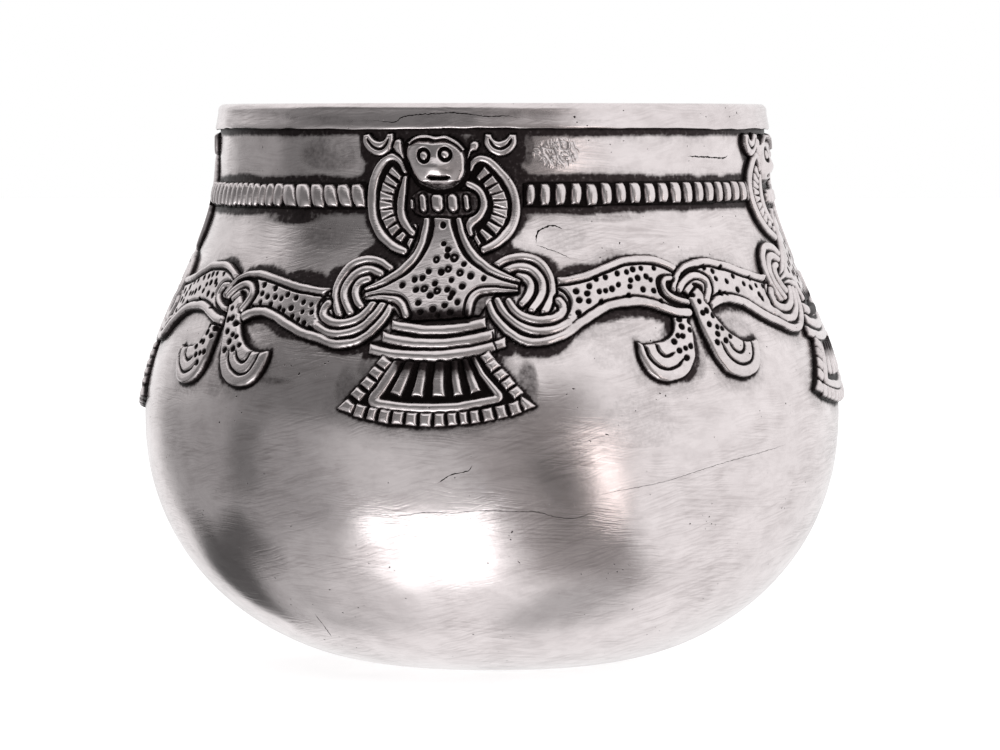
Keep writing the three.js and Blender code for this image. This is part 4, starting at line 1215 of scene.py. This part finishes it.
def silver(name, base, worn, roughness, streaks):
    """Burnished silver with fine scratches, pits, and tarnish and painted shade where the mesh is dark.
    """
    material = bpy.data.materials.new(name)
    material.use_nodes = True
    shader = material.node_tree.nodes["Principled BSDF"]
    shader.inputs["Metallic"].default_value = 1.0
    make = Nodes(material.node_tree)
    where = make.add("ShaderNodeTexCoord").outputs["Object"]
    mark = make.add("ShaderNodeAttribute", attribute_name="dark").outputs["Fac"]

    def noise(scale, detail, coarse=0.6, offset=0.0):
        inputs = {"Vector": where, "Location": (offset,) * 3, "Scale": scale}
        place = make.add("ShaderNodeMapping", inputs)
        inputs = {"Vector": place.outputs[0], "Scale": 1.0, "Detail": detail, "Roughness": coarse}
        return make.add("ShaderNodeTexNoise", inputs).outputs[0]

    def scratches(tilt, across, seed):
        """Fine scratches along one direction of the burnisher, only in patches."""
        turned = make.add("ShaderNodeMapping", {
            "Vector": bent, "Location": (seed,) * 3, "Rotation": (0, math.radians(tilt), 0),
            "Scale": (1 / SCRATCH_LENGTH, 1 / SCRATCH_LENGTH, 1 / across)}, vector_type="TEXTURE")
        inputs = {"Vector": turned.outputs[0], "Scale": 1.0, "Detail": SCRATCH_DETAIL}
        lines = make.ramp(make.add("ShaderNodeTexNoise", inputs).outputs[0], *SCRATCH_RANGE)
        return make.times(lines, make.ramp(noise(*PATCHES, seed), *PATCH_RANGE))

    wave = make.add("ShaderNodeTexNoise", {"Vector": where, "Scale": BEND_SCALE, "Detail": 1.0})
    bend = {0: wave.outputs["Color"], 1: (BEND,) * 3}
    bend = make.add("ShaderNodeVectorMath", bend, operation="MULTIPLY")
    bent = make.add("ShaderNodeVectorMath", {0: where, 1: bend.outputs[0]}, operation="ADD").outputs[0]
    lines = make.plus(*[scratches(*one) for one in SCRATCHES])
    cloud = noise(*CLOUD)
    grain = noise(*GRAIN)
    clustered = make.ramp(noise(*CLUSTER), *CLUSTER_RANGE)
    pit = make.ramp(make.plus(noise(*SPECK), clustered), *PIT_RANGE)
    fray = make.times(make.times(mark, make.math("SUBTRACT", FRAY_TOP, mark)), FRAY_GAIN)
    ragged = make.plus(mark, make.times(make.math("SUBTRACT", grain, NOISE_MIDDLE), fray))
    ragged = make.math("MAXIMUM", ragged, make.times(pit, PIT_SHADE))
    blotch = make.ramp(noise(*BLOTCH), *BLOTCH_RANGE)
    tone = make.plus(make.times(lines, streaks), make.ramp(cloud, *CLOUD_RANGE), blotch)
    metal = make.blend(tone, base + (1,), worn + (1,))
    brown = make.blend(make.ramp(ragged, *BROWN_RANGE), metal, BROWN)
    colour = make.blend(make.ramp(ragged, *BLACK_RANGE), brown, BLACK)
    rough = make.ramp(cloud, *SMOOTH_RANGE, *[roughness + more for more in ROUGH_SPREAD])
    rough = make.plus(rough, make.ramp(ragged, *TARNISH_ROUGH))
    relief = make.plus(
        make.times(lines, SCRATCH_RISE), make.times(noise(*RIPPLE), RIPPLE_RISE),
        make.times(grain, GRAIN_RISE), make.times(pit, PIT_RISE),
    )
    bump = {"Height": relief, "Strength": BUMP_STRENGTH, "Distance": BUMP_HEIGHT}
    bump = make.add("ShaderNodeBump", bump).outputs[0]
    for socket, value in (("Base Color", colour), ("Roughness", rough), ("Normal", bump)):
        make.tree.links.new(value, shader.inputs[socket])
    return material


vessel_silver = silver("vessel_silver", (0.85, 0.783, 0.785), (0.56, 0.505, 0.505), 0.18, 0.4)
rim_silver = silver("rim_silver", (0.84, 0.772, 0.775), (0.56, 0.505, 0.505), 0.2, 0.35)
ornament_silver = silver("ornament_silver", (0.84, 0.772, 0.775), (0.6, 0.545, 0.545), 0.22, 0.2)


def grid_faces(rows, columns, wrap):
    """Quads between neighbours of a grid of points numbered row by row."""
    across = np.arange(columns if wrap else columns - 1)
    row = np.arange(rows - 1)[:, None]
    left = row * columns + across
    right = row * columns + (across + 1) % columns
    return np.stack([left, right, right + columns, left + columns], axis=-1).reshape(-1, 4)


# Relief pieces: the cells of the canvas that each one owns, with a skirt that dips into the skin
SKIRT_DROP = 0.1
MARGIN = 2


def relief_pieces():
    rows, columns = owner.shape
    for label, name in enumerate(owners[1:], 1):
        mine = owner == label
        if not mine.any():
            continue
        used_columns = np.flatnonzero(mine.any(axis=0))
        gaps = np.diff(np.append(used_columns, used_columns[0] + columns))
        start = used_columns[(np.argmax(gaps) + 1) % len(used_columns)] - MARGIN
        count = columns - gaps.max() + 2 * MARGIN + 1
        used_rows = np.flatnonzero(mine.any(axis=1))
        low = max(used_rows[0] - MARGIN, 0)
        high = min(used_rows[-1] + MARGIN + 1, rows)
        index = np.ix_(np.arange(low, high), (start + np.arange(count)) % columns)
        own = mine[index]
        cell = own[:-1, :-1] | own[1:, :-1] | own[:-1, 1:] | own[1:, 1:]
        stand = height[index]
        skirt = np.where(owner[index] == 0, -SUNK, stand - SKIRT_DROP)
        points = on_skin(canvas_angle[index], canvas_level[index], np.where(own, stand, skirt))
        ids = np.arange(own.size).reshape(own.shape)
        quads = np.stack([ids[:-1, :-1], ids[:-1, 1:], ids[1:, 1:], ids[1:, :-1]], axis=-1)[cell]
        used, faces = np.unique(quads, return_inverse=True)
        mesh_object(
            f"{name}_relief", points.reshape(-1, 3)[used], [faces.reshape(-1, 4)],
            dark[index].ravel()[used], ornament_silver, name,
        )


relief_pieces()

# Cracks and scratches, as u from the front figure's axis and level
SKIN_CRACKS = [
    ([(-12.8, 27.6), (-11.5, 28.1), (-9.5, 28.4), (-7, 28.2), (-4.7, 28.3), (-1.9, 28.8), (0, 28.9),
      (2.2, 28.8), (4.5, 29.1), (6.8, 29.3), (9.4, 29.2), (12, 29.1), (14.2, 29), (17.3, 28.1),
      (19.7, 27.9), (22.7, 28.9), (23.9, 28.9)], 0.09),
    ([(0.5, 33.7), (1.1, 34.1), (2.4, 35), (4.6, 35.6), (5.2, 36.5)], 0.16),
    ([(-27.3, 10.8), (-27.8, 8.7), (-29.1, 6.7)], 0.14),
    ([(21.9, 31.3), (25.2, 32.1), (30.4, 33), (34.3, 33.8), (38.4, 35), (45.6, 36.6),
      (55.8, 38.3)], 0.07),
    ([(15.2, 71.2), (15.4, 72.4), (16, 73.2), (17.4, 73.8), (18.8, 73.8), (19.8, 73.3)], 0.26),
    ([(15.3, 70.8), (17.4, 70.1), (19.1, 69.5), (20.7, 68.7)], 0.1),
    ([(46.4, 84.8), (50.8, 84.7), (56.5, 84.5), (58.3, 84.9)], 0.24),
]
RIM_CRACK = [
    (-13.2, 90.6), (-9.4, 90.3), (-7.9, 91.1), (-5.3, 91.5), (-2, 91.6), (0.8, 91.8), (4.3, 91.5),
    (7.5, 91.2), (10.3, 91.3), (12.7, 90.9),
]
RIM_CRACK_WIDTH = 0.16
CRACK_LIFT = 0.012
CRACK_STEP = 0.25
CRACK_SHAKE = 0.035
CRACK_TAPER = 8
CRACK_POINT = 0.15
CRACK_UNEVEN = (0.4, 1.3)


def crack(points, width, surface, seed):
    """A dark sliver that lies on a surface. It frays and tapers to both ends."""
    path = curve(points, CRACK_STEP)
    draw = np.random.default_rng(seed)
    path = path + draw.normal(0, CRACK_SHAKE, path.shape)
    way = np.gradient(path, axis=0)
    across = np.stack([-way[:, 1], way[:, 0]], axis=-1) / np.linalg.norm(way, axis=1)[:, None]
    share = np.linspace(0, 1, len(path))
    taper = np.clip(CRACK_TAPER * np.minimum(share, 1 - share), CRACK_POINT, 1)
    half = width / 2 * taper * draw.uniform(*CRACK_UNEVEN, len(path))
    edges = np.stack([path - across * half[:, None], path + across * half[:, None]])
    angle = FIRST_TURN + edges[..., 0] / FRIEZE_RADIUS
    return surface(angle, edges[..., 1]).reshape(-1, 3), grid_faces(2, len(path), False)


def with_cracks(points, faces, shade, cracks, surface):
    """Adds cracks to a piece's points, faces and shade."""
    for seed, (line, width) in enumerate(cracks):
        more, quads = crack(line, width, surface, seed)
        faces = faces + [quads + len(points)]
        points = np.vstack([points, more])
        shade = np.concatenate([shade, np.ones(len(more))])
    return points, faces, shade


# Vessel: one skin outside, over the lip and down inside, closed at the two poles of its bottom
BODY_STEP = 2
BODY_COLUMNS = COLUMNS // BODY_STEP
AROUND = np.arange(BODY_COLUMNS) * BODY_STEP * GRID / FRIEZE_RADIUS
BOTTOM_ROWS = 110
BOTTOM_GAP = 0.2
TOP_ROWS = 6
TOP_GAP = 0.3
INNER_ROWS = 30
INNER_SKIP = 3
INNER_SHADE = 0.15
INNER_CLOUD = [(0.12, 9, 51)]


def vessel():
    """The skin in rings of points, with a fan of faces at each pole."""
    turns = np.linspace(0, math.pi / 2, BOTTOM_ROWS)
    bottom = BELLY_LEVEL * (1 - np.cos(turns) ** (2 / ROUNDNESS))
    bottom = bottom[bottom < CANVAS_LOW - BOTTOM_GAP]
    middle = canvas_level[::BODY_STEP, 0]
    top = np.linspace(CANVAS_HIGH + TOP_GAP, LIP_LEVEL, TOP_ROWS)
    angle, level = np.meshgrid(AROUND, np.concatenate([bottom, middle, top]))
    outside = on_skin(angle, level, 0)
    outer_shade = np.zeros(level.shape)
    outer_shade[len(bottom):len(bottom) + len(middle)] = dark[::BODY_STEP, ::BODY_STEP]
    down = np.linspace(LIP_LEVEL, BELLY_LEVEL, INNER_ROWS)
    angle, level = np.meshgrid(AROUND, np.concatenate([down, bottom[::-INNER_SKIP]]))
    inside = on_skin(angle, level, -WALL)
    inner_shade = INNER_SHADE + uneven(angle, level, INNER_CLOUD)
    rings = np.vstack([outside, inside])
    count = rings.shape[0] * BODY_COLUMNS
    here = np.arange(BODY_COLUMNS)
    beside = (here + 1) % BODY_COLUMNS
    last = count - BODY_COLUMNS
    foot_fan = np.stack([beside, here, np.full(BODY_COLUMNS, count)], axis=-1)
    floor_fan = np.stack([last + here, last + beside, np.full(BODY_COLUMNS, count + 1)], axis=-1)
    points, faces, shade = with_cracks(
        np.vstack([rings.reshape(-1, 3), [[0, 0, 0], [0, 0, WALL * MM]]]),
        [grid_faces(rings.shape[0], BODY_COLUMNS, True), foot_fan, floor_fan],
        np.concatenate([outer_shade.ravel(), inner_shade.ravel(), [0, INNER_SHADE]]),
        SKIN_CRACKS,
        lambda angle, level: on_skin(angle, level, CRACK_LIFT),
    )
    mesh_object("vessel", points, faces, shade, vessel_silver, "vessel_body")


vessel()

# A corroded patch on the neck, crinkled like foil. Its edge dips into the skin.
SCAR = (19.4, 85.4, 4.4, 2.5)
SCAR_REACH = 1.3
SCAR_STEP = 0.07
SCAR_LIFT = 0.03
SCAR_SUNK = 0.02
SCAR_RISE = 0.13
SCAR_SHADE = 0.34
SCAR_COVER = 0.7
SCAR_PATCHES = [(0.8, 2.4, 15)]
CRINKLE_SHEAR = 0.4
CRINKLE_BEND = [(0.7, 1.5, 16)]
CRINKLES = [
    # how far they wind, in layers; spacing, seed, width of the valleys
    ([(0.6, 1.3, 17)], 0.75, 13, 0.5),
    ([(-0.5, 1.2, 18)], 0.42, 14, 0.4),
]
FINE_SHARE = 0.6


def crinkles(angle, level):
    """Winding ridges from 0 to 1, with finer ones on them."""
    bend = uneven(angle, level, CRINKLE_BEND) + CRINKLE_SHEAR * level
    bent = angle + bend / FRIEZE_RADIUS
    broad, fine = [
        smooth(np.abs(mottle(bent, level + uneven(angle, level, wind), size, seed)) / valley)
        for wind, size, seed, valley in CRINKLES
    ]
    return broad * (1 - FINE_SHARE + FINE_SHARE * fine)


def scar():
    spans = [
        np.arange(middle - SCAR_REACH * half, middle + SCAR_REACH * half, SCAR_STEP)
        for middle, half in zip(SCAR[:2], SCAR[2:])
    ]
    u, level = np.meshgrid(*spans)
    angle = FIRST_TURN + u / FRIEZE_RADIUS
    share = spot(angle, level, SCAR)
    ridges = crinkles(angle, level)
    patchy = smooth(SCAR_COVER + uneven(angle, level, SCAR_PATCHES))
    points = on_skin(angle, level, share * (SCAR_LIFT + SCAR_RISE * ridges * patchy) - SCAR_SUNK)
    shade = SCAR_SHADE * share * patchy * (1 - ridges)
    faces = [grid_faces(*u.shape, False)]
    points = points.reshape(-1, 3)
    mesh_object("scar", points, faces, shade, vessel_silver, "vessel_body")


scar()

# Rim band: a folded strip with a rounded top and an uneven lower edge
RIM_THICK = SEAT_GAP + RIM_SHEET
RIM_OUTER = NECK_RADIUS + RIM_THICK
RIM_INNER = NECK_RADIUS - WALL - RIM_THICK
RIM_OUTSIDE = NECK_RADIUS - 1
RIM_ROUND = 1.1
RIM_FACE = 2.6
RIM_TAPER = 0.5
# The lower edge, as how far in from the outer face and how far up, then the levels up the face
RIM_FOLD = [(RIM_THICK, 0.2), (0.3, 0), (0.1, 0.1)]
RIM_RISES = (0.35, 0.8, 1.3, 1.8, RIM_FACE)
ROUND_STEPS = 7
RIM_WAVER = [(0.07, 9, 61), (0.03, 3, 62)]
RIM_EDGE_WAVER = [(0.22, 12, 63), (0.1, 2.5, 64)]
# Darker patches on the rim band: u and level from the front figure's axis, half sizes, strength
RIM_DARK_PATCHES = [
    ((-27, 91.3, 11, 0.5), 0.42), ((-20, 90.3, 9, 0.4), 0.34), ((-35, 91.9, 5, 0.3), 0.3),
    ((13, 91.5, 8, 0.9), 0.26), ((22, 90.4, 9, 0.5), 0.16), ((-52, 91, 7, 0.8), 0.16),
]
# Streaks in them: strength, size, seed, and how much shorter they are than they are wide
RIM_STREAKS = [(0.8, 7, 65, 6), (0.5, 2, 66, 1)]
RIM_PATCH_MOST = 1.4
# The painted shadow under the fold
FOLD_SHADE_TALL = 0.3
FOLD_SHADE_DEEP = 0.2


def rim_profile():
    """Radius, level and how freely the edge wanders, from the outer edge over to the inner one."""
    lower = [(RIM_OUTER - inward, RIM_EDGE + up, 1) for inward, up in RIM_FOLD]
    for rise in RIM_RISES:
        share = rise / RIM_FACE
        lower.append((RIM_OUTER - RIM_TAPER * share, RIM_EDGE + rise, max(0, 1 - share)))
    outer = []
    inner = []
    for turn in np.linspace(0, math.pi / 2, ROUND_STEPS + 1):
        start = RIM_ROUND * (1 - math.cos(turn))
        end = RIM_ROUND * (1 - math.sin(turn))
        outer.append((RIM_OUTER - RIM_TAPER - start, RIM_TOP - end, 0))
        inner.append((RIM_INNER + end, RIM_TOP - start, 0))
    inner += [(RIM_INNER, RIM_INNER_EDGE, 0), (RIM_INNER + RIM_THICK, RIM_INNER_EDGE, 0)]
    return np.array(lower + outer + inner)


def on_rim(angle, level, lift):
    """Points in metres on the rim band's outer face."""
    taper = RIM_TAPER * np.clip((level - RIM_EDGE) / RIM_FACE, 0, 1)
    return at_radius(RIM_OUTER - taper + lift + uneven(angle, level, RIM_WAVER), angle, level)


def rim():
    profile = rim_profile()
    angle, radius = np.meshgrid(AROUND, profile[:, 0])
    level = np.repeat(profile[:, 1:2], BODY_COLUMNS, axis=1)
    level = level + profile[:, 2:] * uneven(angle, level, RIM_EDGE_WAVER)
    waver = uneven(angle, level, RIM_WAVER)
    radius = radius + np.where(radius > RIM_OUTSIDE, waver, 0)
    # Painted shadow under the fold
    folded = (level < RIM_EDGE + FOLD_SHADE_TALL) & (radius < RIM_OUTER - FOLD_SHADE_DEEP)
    streaky = 1 + sum(
        strength * mottle(angle, flat * level, size, seed) for strength, size, seed, flat in RIM_STREAKS
    )
    points, faces, shade = with_cracks(
        at_radius(radius, angle, level).reshape(-1, 3),
        [grid_faces(len(profile), BODY_COLUMNS, True)],
        np.maximum(folded, spots(angle, level, RIM_DARK_PATCHES, streaky, RIM_PATCH_MOST)).ravel(),
        [(RIM_CRACK, RIM_CRACK_WIDTH)],
        lambda angle, level: on_rim(angle, level, CRACK_LIFT),
    )
    mesh_object("rim", points, faces, shade, rim_silver, "rim_band")


rim()

# Camera
EYE_HEIGHT = 0.08905
EYE_DISTANCE = 0.9
LENS = 193.56
PITCH_DOWN = 2.609
YAW_RIGHT = 0.08
SENSOR_WIDTH = 36
CLIP_START = 0.05
CLIP_END = 20
eye = bpy.data.cameras.new("camera")
eye.lens = LENS
eye.sensor_width = SENSOR_WIDTH
eye.clip_start = CLIP_START
eye.clip_end = CLIP_END
camera = bpy.data.objects.new("camera", eye)
camera.location = (0, -EYE_DISTANCE, EYE_HEIGHT)
camera.rotation_euler = (math.radians(90 - PITCH_DOWN), 0, math.radians(-YAW_RIGHT))
bpy.context.scene.collection.objects.link(camera)
bpy.context.scene.camera = camera

# Studio: white paper all round, with soft screens and dark flags at set directions.
# A direction is its azimuth, from 0 at the camera to 90 at the right, and its elevation.
GREY_STEP = 2.2
METAL_SHINE = 0.75
ROOM_GREY = 222


def grey(value):
    """Brightness of a screen from its place on a printed grey scale, as the metal shows it."""
    return (value / 255) ** GREY_STEP / METAL_SHINE


SCREENS = [
    # azimuth, elevation, half width, half height, softness, grey, azimuth gained per degree up, warmth
    (-66, -12, 76, 34, 10, 140, 0, 0),
    (-48, 24, 50, 19, 10, 103, 0, 0),
    (-134, 20, 16, 12, 8, 200, 0, 0),
    (-30, -22, 24, 18, 12, 186, 0, 0),
    (-91.5, -10, 8.5, 13, 4, 98, 0.35, 0),
    (-130, -33.5, 26, 8, 3, 78, 0, 0),
    (-142, -26, 14, 5, 3, 76, 0, 0),
    (-112, -52, 44, 8, 7, 158, 0, 0),
    (-108, -62, 44, 8, 8, 190, 0, 0),
    (30, -36, 24, 36, 10, 147, -0.5, 0.6),
    (18, 10, 15, 18, 8, 130, 0, 0.6),
    (27, -28, 9, 20, 8, 92, -0.6, 0.4),
    (48, -52, 23, 9, 7, 122, -1.6, 0.7),
    (78, -62, 24, 9, 7, 140, -1.8, 0.5),
    (125, -74, 50, 9, 9, 162, 0, 0),
    (40, -19, 4.2, 22, 3, 300, -0.34, 1.3),
    (-27, -57.5, 27, 18.5, 3.5, 335, 0, 0),
    (-54, -63, 22, 9, 4, 290, 0.9, 0),
]
WARM = (1.0, 0.94, 0.915)
PAPER_LIGHT = (1, 1, 1, 1)
LIGHT_MAP = 1024


def studio():
    world = bpy.data.worlds.new("studio")
    bpy.context.scene.world = world
    world.use_nodes = True
    world.node_tree.nodes.clear()
    make = Nodes(world.node_tree)
    way = make.add("ShaderNodeTexCoord").outputs["Generated"]
    way = make.add("ShaderNodeSeparateXYZ", {0: way}).outputs
    azimuth = make.math("DEGREES", make.math("ARCTAN2", way[0], make.times(way[1], -1.0)))
    elevation = make.math("DEGREES", make.math("ARCSINE", way[2]))

    def share(value, middle, half, soft):
        """1 within half a width of the middle, falling to 0 across a soft edge."""
        off = make.math("ABSOLUTE", make.math("SUBTRACT", value, middle))
        return make.ramp(off, half + soft, half - soft, interpolation_type="SMOOTHSTEP")

    light = (grey(ROOM_GREY),) * 3 + (1,)
    for middle, up, half, tall, soft, value, lean, warmth in SCREENS:
        drift = make.times(make.math("SUBTRACT", elevation, up), lean)
        across = share(make.math("SUBTRACT", azimuth, drift), middle, half, soft)
        screen = make.times(across, share(elevation, up, tall, soft))
        light = make.blend(screen, light, tuple(grey(value) * part ** warmth for part in WARM) + (1,))
    seen = make.add("ShaderNodeLightPath").outputs["Is Camera Ray"]
    screens = make.add("ShaderNodeBackground", {"Color": light, "Strength": 1.0})
    paper = make.add("ShaderNodeBackground", {"Color": PAPER_LIGHT, "Strength": 1.0})
    mixed = make.add("ShaderNodeMixShader", {0: seen, 1: screens.outputs[0], 2: paper.outputs[0]})
    make.add("ShaderNodeOutputWorld", {"Surface": mixed.outputs[0]})
    world.cycles.sampling_method = "MANUAL"
    world.cycles.sample_map_resolution = LIGHT_MAP


studio()

# Floor: white paper that keeps a faint shadow
FLOOR_HALF = 6.0
FLOOR_CORNERS = [(-1, -1), (1, -1), (1, 1), (-1, 1)]
PAPER_COLOUR = (0.6, 0.6, 0.6, 1)
PAPER_ROUGHNESS = 0.9
PAPER_GLOW = 0.75
floor_mesh = bpy.data.meshes.new("floor")
floor_mesh.from_pydata(
    [(x * FLOOR_HALF, y * FLOOR_HALF, 0) for x, y in FLOOR_CORNERS], [], [(0, 1, 2, 3)])
paper = bpy.data.materials.new("paper")
paper.use_nodes = True
paper_shader = paper.node_tree.nodes["Principled BSDF"]
paper_shader.inputs["Base Color"].default_value = PAPER_COLOUR
paper_shader.inputs["Roughness"].default_value = PAPER_ROUGHNESS
paper_shader.inputs["Emission Color"].default_value = PAPER_LIGHT
paper_shader.inputs["Emission Strength"].default_value = PAPER_GLOW
floor_mesh.materials.append(paper)
floor = bpy.data.objects.new("floor", floor_mesh)
bpy.context.scene.collection.objects.link(floor)
floor.visible_glossy = False

bpy.context.scene.view_settings.view_transform = "Standard"


def corners(box):
    return [list(corner) for corner in box]
